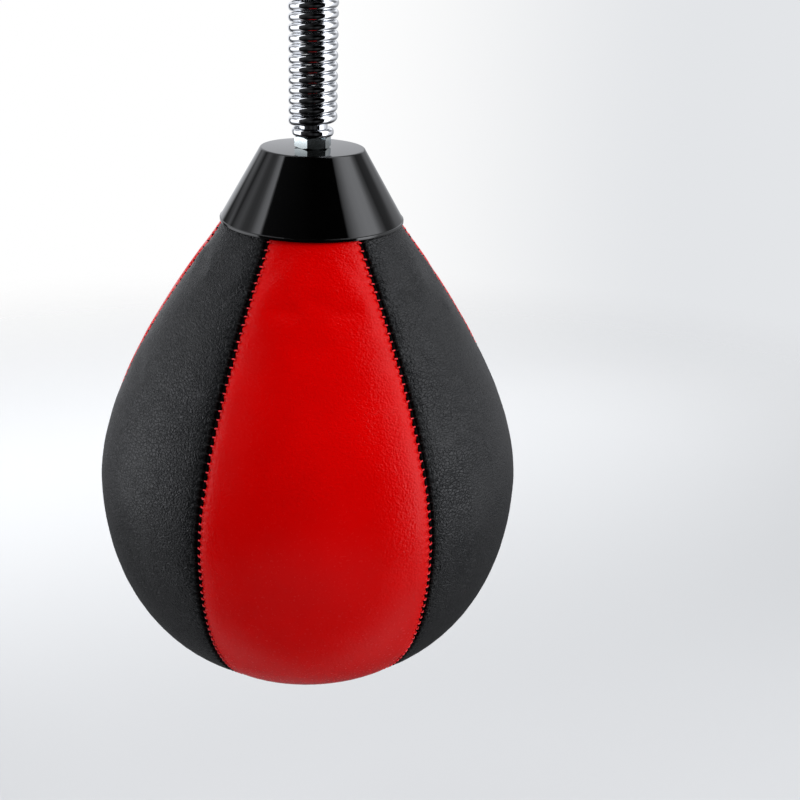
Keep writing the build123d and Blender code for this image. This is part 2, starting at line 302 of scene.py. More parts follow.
def resample(values: np.ndarray, index: np.ndarray) -> np.ndarray:
    """Read rows of a table at fractional row numbers, smoothly.

    Args:
        values: Table whose first axis is read.
        index: Fractional row numbers.

    Returns:
        One row for each number, on Catmull-Rom curves through the table's rows.
    """
    last = len(values) - 1
    low = np.clip(np.floor(index).astype(int), 0, last - 1)
    t = (index - low).reshape((-1,) + (1,) * (values.ndim - 1))
    p0, p1 = values[np.maximum(low - 1, 0)], values[low]
    p2, p3 = values[low + 1], values[np.minimum(low + 2, last)]
    return 0.5 * (
        2 * p1 + (p2 - p0) * t + (2 * p0 - 5 * p1 + 4 * p2 - p3) * t**2 + (3 * p1 - p0 - 3 * p2 + p3) * t**3
    )


def wander(seed: int, at: np.ndarray, sizes: Sequence[float]) -> np.ndarray:
    """Smooth random wave between about -1 and 1.

    Args:
        seed: Fixed seed.
        at: Where the wave is read, in metres.
        sizes: Wavelengths in metres.

    Returns:
        The wave's height at each place.
    """
    random = np.random.default_rng(seed)
    waves = [
        np.sin(2 * math.pi * at / (size * random.uniform(0.8, 1.25)) + random.uniform(0, 2 * math.pi))
        for size in sizes
    ]
    return np.sum(waves, axis=0) / len(sizes)


class Body(Enum):
    """Bodies of the part that the pieces ride on."""

    MOUNT = "mount"
    SIDE_BEND = "side_bend_coils"
    FRONT_BEND = "front_bend_coils"
    TWIST = "twist_coils"
    BAG = "bag"


# ---------------------------------------------------------------------- finishes


@dataclass(frozen=True)
class Finish:
    """A real material, built once from procedural nodes.

    Attributes:
        title: The material's name.
        slot: The record's material slot; not used.
    """

    title: str
    slot: str

    def material(self) -> bpy.types.Material:
        """Return the material, building it the first time."""
        found = bpy.data.materials.get(self.title)
        if found is not None:
            return found
        made = bpy.data.materials.new(self.title)
        made.use_nodes = True
        tree = made.node_tree
        tree.nodes.clear()
        shader = add_node(tree, "ShaderNodeBsdfPrincipled")
        add_node(tree, "ShaderNodeOutputMaterial", {"Surface": shader.outputs[0]})
        place = add_node(tree, "ShaderNodeTexCoord").outputs["Object"]
        self.dress(tree, shader, place)
        return made

    def dress(self, tree: bpy.types.NodeTree, shader: bpy.types.Node, place: bpy.types.NodeSocket) -> None:
        """Add the finish's own nodes; each kind of finish has its own way."""
        raise NotImplementedError

    def on(self, *pieces: bpy.types.Object) -> None:
        """Give the finish to new pieces.

        Args:
            *pieces: Pieces made by this script.
        """
        for piece in pieces:
            piece.data.materials.clear()
            piece.data.materials.append(self.material())

    def on_node(self, *names: str) -> None:
        """Give the finish to CAD nodes that stay as they are.

        Args:
            *names: Names of the nodes.
        """
        for name in names:
            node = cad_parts[name]
            if not node.material_slots:
                node.data.materials.append(self.material())
            for place in node.material_slots:
                place.material = self.material()


@dataclass(frozen=True)
class Leather(Finish):
    """Drum-dyed, pigment-coated cowhide with a fine pebbled grain.

    The coat gives a broad soft sheen, the pebbles break it into small sparkles,
    and the hide shows shallow stretch creases.
    """

    colour: str = "#D20000"
    deep: str = "#BE0000"
    roughness: float = 0.4
    pebble_mm: float = 1.15
    pebble_depth_mm: float = 0.24
    crease_mm: float = 1.7
    crease_depth_mm: float = 0.28
    specular: float = 0.5
    cloud_mm: float = 45.0
    speck_mm: float = 1.3
    speck_depth_mm: float = 0.14
    warp_mm: float = 14.0

    def dress(self, tree: bpy.types.NodeTree, shader: bpy.types.Node, place: bpy.types.NodeSocket) -> None:
        """Add hide colour, grain, creases, and painted shade in the needle holes and on the black gores'
        edges by the groove.
        """
        cloud = add_noise(tree, place, self.cloud_mm, 3.0, 0.55)
        speck = add_noise(tree, place, self.speck_mm, 3.0)
        spread = add_range(tree, cloud.outputs[0], 0.3, 0.7)
        dye = add_mix(tree, spread, linear(self.deep), linear(self.colour))
        # Painted shade: where the mark is set, the base colour goes nearly black, standing in for the shade
        # in the needle holes and the grooves; the roughness rises there too.
        hole_shade = add_node(tree, "ShaderNodeAttribute", attribute_name="hole_shade").outputs["Fac"]
        dark = tuple(0.12 * c for c in linear(self.deep)[:3]) + (1.0,)
        dye_with_painted_shade = add_mix(tree, hole_shade, dye, dark)
        warp = add_noise(tree, place, self.warp_mm, 2.0)
        bent = add_node(
            tree,
            "ShaderNodeVectorMath",
            {0: warp.outputs["Color"], 1: (0.006, 0.006, 0.006), 2: place},
            operation="MULTIPLY_ADD",
        )
        drawn = add_node(
            tree,
            "ShaderNodeMapping",
            {"Vector": bent.outputs[0], "Rotation": (0.0, 0.6, 0.0), "Scale": (0.5, 0.5, 1.0)},
        )
        pebble = add_node(
            tree,
            "ShaderNodeTexVoronoi",
            {"Vector": place, "Scale": per_metre(self.pebble_mm), "Randomness": 1.0},
            feature="SMOOTH_F1",
        )
        crease = add_node(
            tree,
            "ShaderNodeTexVoronoi",
            {"Vector": drawn.outputs[0], "Scale": per_metre(self.crease_mm)},
            feature="DISTANCE_TO_EDGE",
        )
        line = add_range(tree, crease.outputs["Distance"], 0.0, 0.12, smooth=True)
        where = add_range(tree, cloud.outputs[0], 0.4, 0.66, 0.3, 1.0)
        shallow = add_value_mix(tree, where, 1.0, line)
        grain = add_bump(tree, pebble.outputs["Distance"], -self.pebble_depth_mm * MM)
        fine = add_bump(tree, speck.outputs[0], self.speck_depth_mm * MM, grain)
        folds = add_bump(tree, shallow, self.crease_depth_mm * MM, fine)
        sheen = add_range(tree, speck.outputs[0], 0.3, 0.7, self.roughness - 0.05, self.roughness + 0.07)
        dull_where_shaded = add_value_mix(tree, hole_shade, sheen, 0.95)
        feed(
            shader,
            {
                "Base Color": dye_with_painted_shade,
                "Roughness": dull_where_shaded,
                "Normal": folds,
                "Specular IOR Level": self.specular,
                "IOR": 1.5,
            },
        )


@dataclass(frozen=True)
class Plated(Finish):
    """Electroplated steel: a mirror of metal over a surface ground or drawn beneath.

    Bright chrome is nearly a mirror with faint drawing lines; zinc is softer, with
    the cloudy tint of its passivation.
    """

    colour: str = "#E4E6E8"
    tint: str = "#D8DBDE"
    roughness: float = 0.05
    haze: float = 0.05
    line_mm: float = 0.9
    depth_mm: float = 0.004
    cloud_mm: float = 6.0

    def dress(self, tree: bpy.types.NodeTree, shader: bpy.types.Node, place: bpy.types.NodeSocket) -> None:
        """Add the tint, the haze and the fine lines of the metal beneath."""
        cloud = add_noise(tree, place, self.cloud_mm, 3.0)
        tint = add_mix(tree, cloud.outputs[0], linear(self.colour), linear(self.tint))
        haze = add_range(tree, cloud.outputs[0], 0.35, 0.7, self.roughness, self.roughness + self.haze)
        lines = add_noise(tree, place, self.line_mm, 2.0)
        bump = add_bump(tree, lines.outputs[0], self.depth_mm * MM)
        feed(shader, {"Metallic": 1.0, "Base Color": tint, "Roughness": haze, "Normal": bump})


@dataclass(frozen=True)
class Coated(Finish):
    """A surface that is not metal: moulded plastic, powder paint, rubber or cloth.

    Each has a base colour that drifts a little, its own gloss and a skin texture
    of one real size: orange peel, mould texture, dust or threads.
    """

    colour: str = "#0B0B0C"
    drift: str = "#121214"
    roughness: float = 0.1
    haze: float = 0.05
    skin_mm: float = 3.0
    skin_depth_mm: float = 0.01
    ior: float = 1.5
    cloud_mm: float = 12.0

    def dress(self, tree: bpy.types.NodeTree, shader: bpy.types.Node, place: bpy.types.NodeSocket) -> None:
        """Add the colour drift, the handling haze and the skin texture."""
        cloud = add_noise(tree, place, self.cloud_mm, 4.0)
        drift = add_mix(tree, cloud.outputs[0], linear(self.colour), linear(self.drift))
        haze = add_range(tree, cloud.outputs[0], 0.4, 0.7, self.roughness, self.roughness + self.haze)
        skin = add_noise(tree, place, self.skin_mm, 2.0)
        bump = add_bump(tree, skin.outputs[0], self.skin_depth_mm * MM)
        feed(shader, {"Base Color": drift, "Roughness": haze, "Normal": bump, "IOR": self.ior})


@dataclass(frozen=True)
class Woven(Finish):
    """Plain-woven cotton lining: crossing threads under a soft matt nap."""

    colour: str = "#B9B2A2"
    gap: str = "#8C8576"
    thread_mm: float = 0.9
    relief_mm: float = 0.12

    def dress(self, tree: bpy.types.NodeTree, shader: bpy.types.Node, place: bpy.types.NodeSocket) -> None:
        """Add crossing threads, one wave round the bag and one up it, with painted shade in the low places
        between them.
        """
        wave = 2 * math.pi / (self.thread_mm * MM)
        turned = add_node(
            tree, "ShaderNodeVectorMath", {0: place, 1: (wave, wave, wave)}, operation="MULTIPLY"
        )
        waves = add_node(tree, "ShaderNodeVectorMath", {0: turned.outputs[0]}, operation="SINE")
        part = add_node(tree, "ShaderNodeSeparateXYZ", {0: waves.outputs[0]})
        weft = add_maths(tree, "ADD", part.outputs[0], part.outputs[1])
        cloth = add_maths(tree, "MULTIPLY", weft, part.outputs[2])
        spread = add_range(tree, cloth, -1.0, 1.0)
        # Painted shade: the low places between the threads get the darker gap colour.
        colour = add_mix(tree, spread, linear(self.gap), linear(self.colour))
        bump = add_bump(tree, spread, self.relief_mm * MM)
        feed(shader, {"Base Color": colour, "Normal": bump, "Roughness": 0.9, "Sheen Weight": 0.3})


# Pigmented red cowhide, smooth: it shines only where a softbox is mirrored, and sparkles there.
RED_LEATHER = Leather(
    "Pigmented red cowhide",
    "red_leather",
    colour="#D40000",
    deep="#CA0000",
    roughness=0.22,
    specular=0.1,
    pebble_depth_mm=0.14,
    crease_depth_mm=0.05,
)
# The same hide in black, rougher but with a stronger sheen, so that it reads grey in the light.
BLACK_LEATHER = Leather(
    "Pigmented black cowhide",
    "black_leather",
    colour="#121315",
    deep="#0C0D0E",
    roughness=0.35,
    pebble_mm=0.95,
    pebble_depth_mm=0.34,
    crease_mm=1.3,
    crease_depth_mm=0.32,
    specular=0.3,
)
# Cut leather edge strip, dull and nearly black in its groove.
WELT_LEATHER = Leather(
    "Split leather welt",
    "black_welt",
    colour="#060606",
    deep="#030303",
    roughness=0.85,
    pebble_mm=0.9,
    specular=0.1,
)
# Waxed polyester thread laid over red hide, dyed to match and a little paler.
RED_THREAD = Coated(
    "Waxed red polyester thread",
    "red_leather",
    colour="#E42A32",
    drift="#D41E26",
    roughness=0.45,
    skin_mm=0.5,
    skin_depth_mm=0.08,
)
# Waxed black polyester thread.
BLACK_THREAD = Coated(
    "Waxed black polyester thread",
    "black_leather",
    colour="#050505",
    drift="#0A0A0A",
    roughness=0.85,
    skin_mm=0.5,
    skin_depth_mm=0.08,
)
# Bright chrome over drawn spring wire: a mirror with faint lines along the wire.
CHROME_WIRE = Plated(
    "Bright chrome on spring wire",
    "chrome_wire",
    colour="#F0F1F3",
    tint="#E2E4E7",
    roughness=0.05,
    haze=0.05,
    line_mm=1.4,
    depth_mm=0.006,
)
# Bright chrome over turned steel.
CHROME_PLUG = Plated(
    "Bright chrome on turned steel",
    "chromed_plug",
    colour="#F0F1F3",
    tint="#DDE0E4",
    roughness=0.04,
    haze=0.04,
)
# Clear-passivated zinc on cold-formed steel: soft reflections with a green and blue cast.
ZINC = Plated(
    "Clear passivated zinc",
    "zinc_steel",
    colour="#D6DDD6",
    tint="#C2CDD6",
    roughness=0.2,
    haze=0.12,
    line_mm=0.5,
    depth_mm=0.008,
)
# Black powder coat with fine orange peel.
POWDER_COAT = Coated(
    "Black powder coat",
    "black_paint",
    colour="#17181A",
    drift="#1D1E20",
    roughness=0.38,
    haze=0.08,
    skin_mm=1.2,
    skin_depth_mm=0.05,
)
# Injection-moulded black ABS with a polished mould face, almost a mirror.
GLOSS_ABS = Coated(
    "Polished black ABS",
    "cap_plastic",
    colour="#010101",
    drift="#030303",
    roughness=0.04,
    haze=0.02,
    skin_mm=9.0,
    skin_depth_mm=0.012,
    ior=1.54,
)
# Glass-filled nylon, satin, for the clamp inside the neck.
NYLON = Coated(
    "Glass-filled black nylon",
    "clamp_plastic",
    colour="#151515",
    drift="#202020",
    roughness=0.5,
    skin_mm=0.8,
    skin_depth_mm=0.03,
)
# Butyl rubber, dusty and matt.
BUTYL = Coated(
    "Butyl rubber",
    "butyl_rubber",
    colour="#1A1A1A",
    drift="#2A2927",
    roughness=0.65,
    skin_mm=1.5,
    skin_depth_mm=0.03,
)
LINING_CLOTH = Woven("Plain-woven cotton lining", "lining_cloth")


# -------------------------------------------------------------- Geometry Nodes


class NodePattern:
    """A Geometry Nodes tree with named inputs that ends as a plain mesh."""

    def __init__(self, name: str, sockets: dict[str, str]) -> None:
        """Start the tree.

        Args:
            name: Name of the tree.
            sockets: Input name to socket type, after the Geometry input.
        """
        self.tree = bpy.data.node_groups.new(name, "GeometryNodeTree")
        self.tree.interface.new_socket("Geometry", in_out="INPUT", socket_type="NodeSocketGeometry")
        self.keys = {
            label: self.tree.interface.new_socket(label, in_out="INPUT", socket_type=kind).identifier
            for label, kind in {**sockets, "Finish": "NodeSocketMaterial"}.items()
        }
        self.tree.interface.new_socket("Geometry", in_out="OUTPUT", socket_type="NodeSocketGeometry")
        self.inputs = add_node(self.tree, "NodeGroupInput").outputs

    def node(self, kind: str, inputs: dict[Any, Any] | None = None, **settings: Any) -> bpy.types.Node:
        """Add one node to this tree."""
        return add_node(self.tree, kind, inputs, **settings)

    def maths(self, operation: str, *values: Any) -> bpy.types.NodeSocket:
        """Add a calculation to the tree and return its result."""
        return add_maths(self.tree, operation, *values)

    def close(self, geometry: bpy.types.NodeSocket) -> None:
        """End the tree with real, smooth, finished geometry.

        Args:
            geometry: The output that holds the pattern.
        """
        real = self.node("GeometryNodeRealizeInstances", {0: geometry})
        smooth = self.node("GeometryNodeSetShadeSmooth", {0: real.outputs[0]})
        finished = self.node(
            "GeometryNodeSetMaterial", {"Geometry": smooth.outputs[0], "Material": self.inputs["Finish"]}
        )
        self.node("NodeGroupOutput", {0: finished.outputs[0]})

    def make(
        self, name: str, source: bpy.types.Mesh, values: dict[str, Any], finish: Finish
    ) -> bpy.types.Object:
        """Run the tree once and keep its result as a plain mesh.

        Args:
            name: Name of the piece.
            source: Mesh that the tree starts from.
            values: Input name to value.
            finish: Finish of the result.

        Returns:
            A plain mesh object at the origin.
        """
        holder = bpy.data.objects.new(name + "_holder", source)
        bpy.context.scene.collection.objects.link(holder)
        modifier = holder.modifiers.new("pattern", "NODES")
        modifier.node_group = self.tree
        for label, value in {**values, "Finish": finish.material()}.items():
            modifier[self.keys[label]] = value
        graph = bpy.context.evaluated_depsgraph_get()
        mesh = bpy.data.meshes.new_from_object(holder.evaluated_get(graph))
        mesh.name = name
        holder.modifiers.remove(modifier)
        bpy.data.objects.remove(holder)
        piece = bpy.data.objects.new(name, mesh)
        bpy.context.scene.collection.objects.link(piece)
        finish.on(piece)
        return piece


def helix_pattern() -> NodePattern:
    """Build the tree that coils round wire, from one turn number to another.

    Returns:
        The pattern, whose source mesh is not used.
    """
    kinds = ("First Turn", "Last Turn", "Pitch", "Mean Radius", "Wire Radius", "Top Height", "Top Angle")
    pattern = NodePattern(
        "Close-wound wire",
        {kind: "NodeSocketFloat" for kind in kinds} | {
            "Steps per Turn": "NodeSocketInt", "Wire Sides": "NodeSocketInt"
        },
    )
    ins = pattern.inputs
    span = pattern.maths("SUBTRACT", ins["Last Turn"], ins["First Turn"])
    steps = pattern.maths("MULTIPLY", span, ins["Steps per Turn"])
    count = pattern.maths("ADD", steps, 1.0)
    line = pattern.node("GeometryNodeMeshLine", {"Count": count}, mode="OFFSET")
    number = pattern.node("GeometryNodeInputIndex")
    along = pattern.maths("DIVIDE", number.outputs[0], steps)
    turn = pattern.maths("MULTIPLY_ADD", along, span, ins["First Turn"])
    swing = pattern.maths("MULTIPLY_ADD", turn, -2 * math.pi, ins["Top Angle"])
    axes = []
    for operation in ("COSINE", "SINE"):
        unit = pattern.maths(operation, swing)
        axes.append(pattern.maths("MULTIPLY", unit, ins["Mean Radius"]))
    drop = pattern.maths("MULTIPLY", turn, ins["Pitch"])
    height = pattern.maths("SUBTRACT", ins["Top Height"], drop)
    place = pattern.node("ShaderNodeCombineXYZ", {0: axes[0], 1: axes[1], 2: height})
    coiled = pattern.node(
        "GeometryNodeSetPosition", {"Geometry": line.outputs[0], "Position": place.outputs[0]}
    )
    curve = pattern.node("GeometryNodeMeshToCurve", {0: coiled.outputs[0]})
    ring = pattern.node(
        "GeometryNodeCurvePrimitiveCircle",
        {"Resolution": ins["Wire Sides"], "Radius": ins["Wire Radius"]},
        mode="RADIUS",
    )
    wire = pattern.node(
        "GeometryNodeCurveToMesh",
        {"Curve": curve.outputs[0], "Profile Curve": ring.outputs[0], "Fill Caps": True},
    )
    pattern.close(wire.outputs[0])
    return pattern


def stitch_pattern() -> NodePattern:
    """Build the tree that lays one thread loop per pitch along a seam's guide line.

    Returns:
        The pattern. Its source line carries "outward" and "toward" vectors.
    """
    floats = ("Pitch", "Thread Radius", "Hole Distance", "Groove Distance", "Depth", "Rise")
    pattern = NodePattern(
        "Lock stitches", {kind: "NodeSocketFloat" for kind in floats} | {"Seed": "NodeSocketInt"}
    )
    ins = pattern.inputs
    curve = pattern.node("GeometryNodeMeshToCurve", {0: ins["Geometry"]})
    marks = pattern.node(
        "GeometryNodeResampleCurve", {"Curve": curve.outputs[0], "Length": ins["Pitch"]}, mode="LENGTH"
    )
    sunk = pattern.maths("MULTIPLY", ins["Depth"], -1.0)
    back = pattern.maths("MULTIPLY", ins["Groove Distance"], -1.0)
    dip = pattern.maths("MULTIPLY", ins["Rise"], -0.7)
    start = pattern.node("ShaderNodeCombineXYZ", {1: ins["Hole Distance"], 2: dip})
    middle = pattern.node("ShaderNodeCombineXYZ", {1: ins["Rise"], 2: ins["Rise"]})
    end = pattern.node("ShaderNodeCombineXYZ", {1: back, 2: sunk})
    loop = pattern.node(
        "GeometryNodeCurveQuadraticBezier",
        {"Resolution": 5, "Start": start.outputs[0], "Middle": middle.outputs[0], "End": end.outputs[0]},
    )
    ring = pattern.node(
        "GeometryNodeCurvePrimitiveCircle", {"Resolution": 6, "Radius": ins["Thread Radius"]}, mode="RADIUS"
    )
    thread = pattern.node(
        "GeometryNodeCurveToMesh",
        {"Curve": loop.outputs[0], "Profile Curve": ring.outputs[0], "Fill Caps": True},
    )
    outward = pattern.node("GeometryNodeInputNamedAttribute", {"Name": "outward"}, data_type="FLOAT_VECTOR")
    toward = pattern.node("GeometryNodeInputNamedAttribute", {"Name": "toward"}, data_type="FLOAT_VECTOR")
    upright = pattern.node(
        "FunctionNodeAxesToRotation",
        {0: outward.outputs[0], 1: toward.outputs[0]},
        primary_axis="Z",
        secondary_axis="Y",
    )
    swing = pattern.node(
        "FunctionNodeRandomValue",
        {"Min": (0.0, 0.0, -0.16), "Max": (0.0, 0.0, 0.16), "Seed": ins["Seed"]},
        data_type="FLOAT_VECTOR",
    )
    turned = pattern.node(
        "FunctionNodeRotateRotation",
        {"Rotation": upright.outputs[0], "Rotate By": swing.outputs[0]},
        rotation_space="LOCAL",
    )
    size = pattern.node("FunctionNodeRandomValue", {2: 0.85, 3: 1.15, "Seed": ins["Seed"]}, data_type="FLOAT")
    laid = pattern.node(
        "GeometryNodeInstanceOnPoints",
        {
            "Points": marks.outputs[0],
            "Instance": thread.outputs[0],
            "Rotation": turned.outputs[0],
            "Scale": size.outputs[1],
        },
    )
    pattern.close(laid.outputs[0])
    return pattern


# ------------------------------------------------------------------ sub-assemblies


@dataclass
class CeilingMount:
    """Plate, boss, weld and upper nut, the parts that stay still.

    Attributes:
        weld_leg: Size of the fillet weld.
        ripple_pitch: Distance between the weld's ripples.
        ripple_depth: Height of the ripples.
        root_overlap: How far the bead's root reaches into the boss.
        ripple_lag: How far, in radians, a ripple's middle runs ahead of its ends.
        face_hollow: Share by which the bead's face is drawn in.
        steps_per_ripple: Mesh steps along one ripple.
        sides: Points across the bead's face.
    """

    weld_leg: float = 3.5 * MM
    ripple_pitch: float = 1.9 * MM
    ripple_depth: float = 0.22 * MM
    root_overlap: float = 0.2 * MM
    ripple_lag: float = 0.9
    face_hollow: float = 0.18
    steps_per_ripple: int = 8
    sides: int = 8

    def weld(self) -> None:
        """Build the rippled weld bead round the boss, which stands for the CAD weld."""
        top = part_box("boss_weld")[1][2]
        low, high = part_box("threaded_boss")
        inner = (high[0] - low[0]) / 2 - self.root_overlap
        around = inner + self.weld_leg / 2
        ripples = round(2 * math.pi * around / self.ripple_pitch)
        steps = ripples * self.steps_per_ripple
        points, faces = [], []
        for step in range(steps):
            turn = 2 * math.pi * step / steps
            for side in range(self.sides):
                lean = math.pi / 2 * side / (self.sides - 1)
                lag = self.ripple_lag * math.sin(2 * lean)
                crest = 1 - self.ripple_depth / self.weld_leg * (0.5 + 0.5 * math.cos(ripples * turn + lag))
                drawn = 1 - self.face_hollow * (1 - abs(math.cos(2 * lean)))
                reach = self.weld_leg * crest * drawn
                radius = inner + reach * math.sin(lean)
                points.append(
                    (radius * math.cos(turn), radius * math.sin(turn), top - reach * math.cos(lean))
                )
            points.append((inner * math.cos(turn), inner * math.sin(turn), top))
        row = self.sides + 1
        for step in range(steps):
            for side in range(row):
                a, b = step * row, ((step + 1) % steps) * row
                faces.append((a + side, a + (side + 1) % row, b + (side + 1) % row, b + side))
        bead = make_object("weld_bead", points, faces, 50.0)
        POWDER_COAT.on(bead)
        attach(bead, Body.MOUNT.value)
        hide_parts("boss_weld")

    def build(self) -> None:
        """Build the bead and dress the plate, the boss and the nut."""
        self.weld()
        POWDER_COAT.on_node("ceiling_plate", "threaded_boss")
        ZINC.on_node("upper_lock_nut")
        LOG.info("ceiling mount: plate, boss, rippled weld, nut")


@dataclass(frozen=True)
class WireLength:
    """One length of the spring's wire.

    Attributes:
        name: Name of the piece.
        first: Turn number, from the top, where the length starts.
        last: Turn number where it ends.
        upper: The body above the bend; not used.
        lower: The body below it; not used.
        bend: Turn numbers between which it bends; not used.
        stands_for: The CAD nodes that it replaces.
    """

    name: str
    first: float
    last: float
    upper: Body
    lower: Body
    bend: tuple[float, float]
    stands_for: tuple[str, ...]


@dataclass
class CoilSpring:
    """Close-wound spring and the flanged plug in each of its ends.

    Attributes:
        wire: Wire diameter.
        pitch: Distance between turns.
        turns: Number of turns.
        end_angle: Bearing of the top turn's end, in degrees.
        flange_gap: Gap between an end turn and its plug's flange.
        lengths: The wire, from the top down.
    """

    wire: float = 4.9 * MM
    pitch: float = 5.05 * MM
    turns: int = 30
    end_angle: float = 135.0
    steps_per_turn: int = 64
    wire_sides: int = 24
    flange_edge: float = 1.9 * MM
    plug_chamfer: float = 1.0 * MM
    plug_clearance: float = 0.2 * MM
    flange_height: float = 4.4 * MM
    stud_radius: float = 5.0 * MM
    flange_gap: float = 0.2 * MM
    lengths: tuple[WireLength, ...] = (
        WireLength(
            "spring_upper_coils", 0.0, 11.5, Body.MOUNT, Body.SIDE_BEND, (3.0, 11.0),
            ("spring_top_turns", "spring_side_bend_turns"),
        ),
        WireLength(
            "spring_middle_coils", 11.5, 20.0, Body.SIDE_BEND, Body.FRONT_BEND, (12.0, 20.0),
            ("spring_front_bend_turns",),
        ),
        WireLength(
            "spring_turning_coils", 20.0, 22.0, Body.FRONT_BEND, Body.TWIST, (20.0, 22.0),
            ("spring_twist_turns",),
        ),
        WireLength(
            "spring_lower_coils", 22.0, 30.0, Body.TWIST, Body.BAG, (22.0, 27.0),
            ("spring_bottom_turns",),
        ),
    )

    def __post_init__(self) -> None:
        """Read the spring's place from the CAD nodes."""
        self.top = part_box("spring_top_turns")[1][2] - self.wire / 2
        self.mean_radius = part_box("spring_side_bend_turns")[1][0] - self.wire / 2

    def height(self, turn: float) -> float:
        """Height of the wire's centre at a turn counted from the top."""
        return self.top - turn * self.pitch

    def coils(self) -> None:
        """Coil the wire in lengths."""
        pattern = helix_pattern()
        for length in self.lengths:
            seed = bpy.data.meshes.new(length.name + "_seed")
            values = {
                "First Turn": length.first,
                "Last Turn": length.last,
                "Pitch": self.pitch,
                "Mean Radius": self.mean_radius,
                "Wire Radius": self.wire / 2,
                "Top Height": self.top,
                "Top Angle": math.radians(self.end_angle),
                "Steps per Turn": self.steps_per_turn,
                "Wire Sides": self.wire_sides,
            }
            coil = pattern.make(length.name, seed, values, CHROME_WIRE)
            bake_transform(coil)
            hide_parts(*length.stands_for)
            LOG.info("%s: %d faces", length.name, len(coil.data.polygons))

    def plug(self, name: str, node: str, body: Body, upright: bool) -> None:
        """Turn one plug: barrel, rounded flange and stud.

        Args:
            name: Name of the piece.
            node: The CAD plug it stands for.
            body: The body it rides on.
            upright: True where the barrel points up.
        """
        low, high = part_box(node)
        way = 1.0 if upright else -1.0
        stud_end = low[2] if upright else high[2]
        barrel_end = high[2] if upright else low[2]
        flange = (high[0] - low[0]) / 2
        barrel = self.mean_radius - self.wire / 2 - self.plug_clearance
        seat = self.wire / 2 + self.flange_gap
        coil_end = self.height(self.turns) - seat if upright else self.height(0) + seat
        face = coil_end - way * self.flange_height
        outline = [
            (0.0, stud_end),
            (self.stud_radius - self.plug_chamfer, stud_end),
            (self.stud_radius, stud_end + way * self.plug_chamfer),
            (self.stud_radius, face),
            (flange, face),
            (flange, coil_end),
            (barrel, coil_end),
            (barrel, barrel_end - way * self.plug_chamfer),
            (barrel - self.plug_chamfer, barrel_end),
            (0.0, barrel_end),
        ]
        outline = rounded(outline, {4: self.flange_edge, 5: self.flange_edge}, 8)
        if not upright:
            outline.reverse()
        piece = lathe(name, outline, 128)
        CHROME_PLUG.on(piece)
        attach(piece, body.value)
        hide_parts(node)

    def build(self) -> None:
        """Build the coils and both plugs."""
        self.coils()
        self.plug("upper_plug", "upper_spring_plug", Body.MOUNT, False)
        self.plug("lower_plug", "lower_spring_plug", Body.BAG, True)
        LOG.info("spring: %d turns of wire and two plugs", self.turns)


@dataclass
class NeckCap:
    """Polished moulded cone over the neck, with its nut and the clamp inside."""

    top_radius: float = 27.5 * MM
    top_edge: float = 1.2 * MM
    inner_fillet: float = 0.8 * MM
    rim_edge: float = 0.35 * MM
    lip_edge: float = 0.25 * MM
    lip_fillet: float = 0.3 * MM
    lip_bevel: float = 0.3 * MM
    top_wall: float = 3.0 * MM
    skirt_wall: float = 2.6 * MM
    rim_wall: float = 1.3 * MM
    lip_height: float = 1.8 * MM
    lip_proud: float = 0.5 * MM
    boss_radius: float = 13.0 * MM
    boss_depth: float = 8.0 * MM
    stud_bore: float = 5.25 * MM

    def build(self) -> None:
        """Build the cap with its fine lip and dress the clamp parts."""
        low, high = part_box("top_cap")
        top, rim_height, rim = high[2], low[2], (high[0] - low[0]) / 2
        lip_top = rim_height + self.lip_height
        outline = [
            (self.stud_bore, top - self.boss_depth),
            (self.boss_radius, top - self.boss_depth),
            (self.boss_radius, top - self.top_wall),
            (self.top_radius - self.skirt_wall, top - self.top_wall),
            (rim - self.rim_wall, rim_height),
            (rim, rim_height),
            (rim, lip_top - self.lip_bevel),
            (rim - self.lip_proud, lip_top),
            (self.top_radius, top),
            (self.stud_bore, top),
        ]
        radii = {
            3: self.inner_fillet, 5: self.rim_edge, 6: self.lip_edge, 7: self.lip_fillet, 8: self.top_edge
        }
        outline = rounded(outline, radii, 7)
        cap = lathe("gloss_cap", outline, 192, 50.0)
        GLOSS_ABS.on(cap)
        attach(cap, Body.BAG.value)
        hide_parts("top_cap")
        ZINC.on_node("lower_lock_nut", "clamp_washer", "clamp_nut")
        NYLON.on_node("neck_clamp")
        LOG.info("cap: %d faces", len(cap.data.polygons))


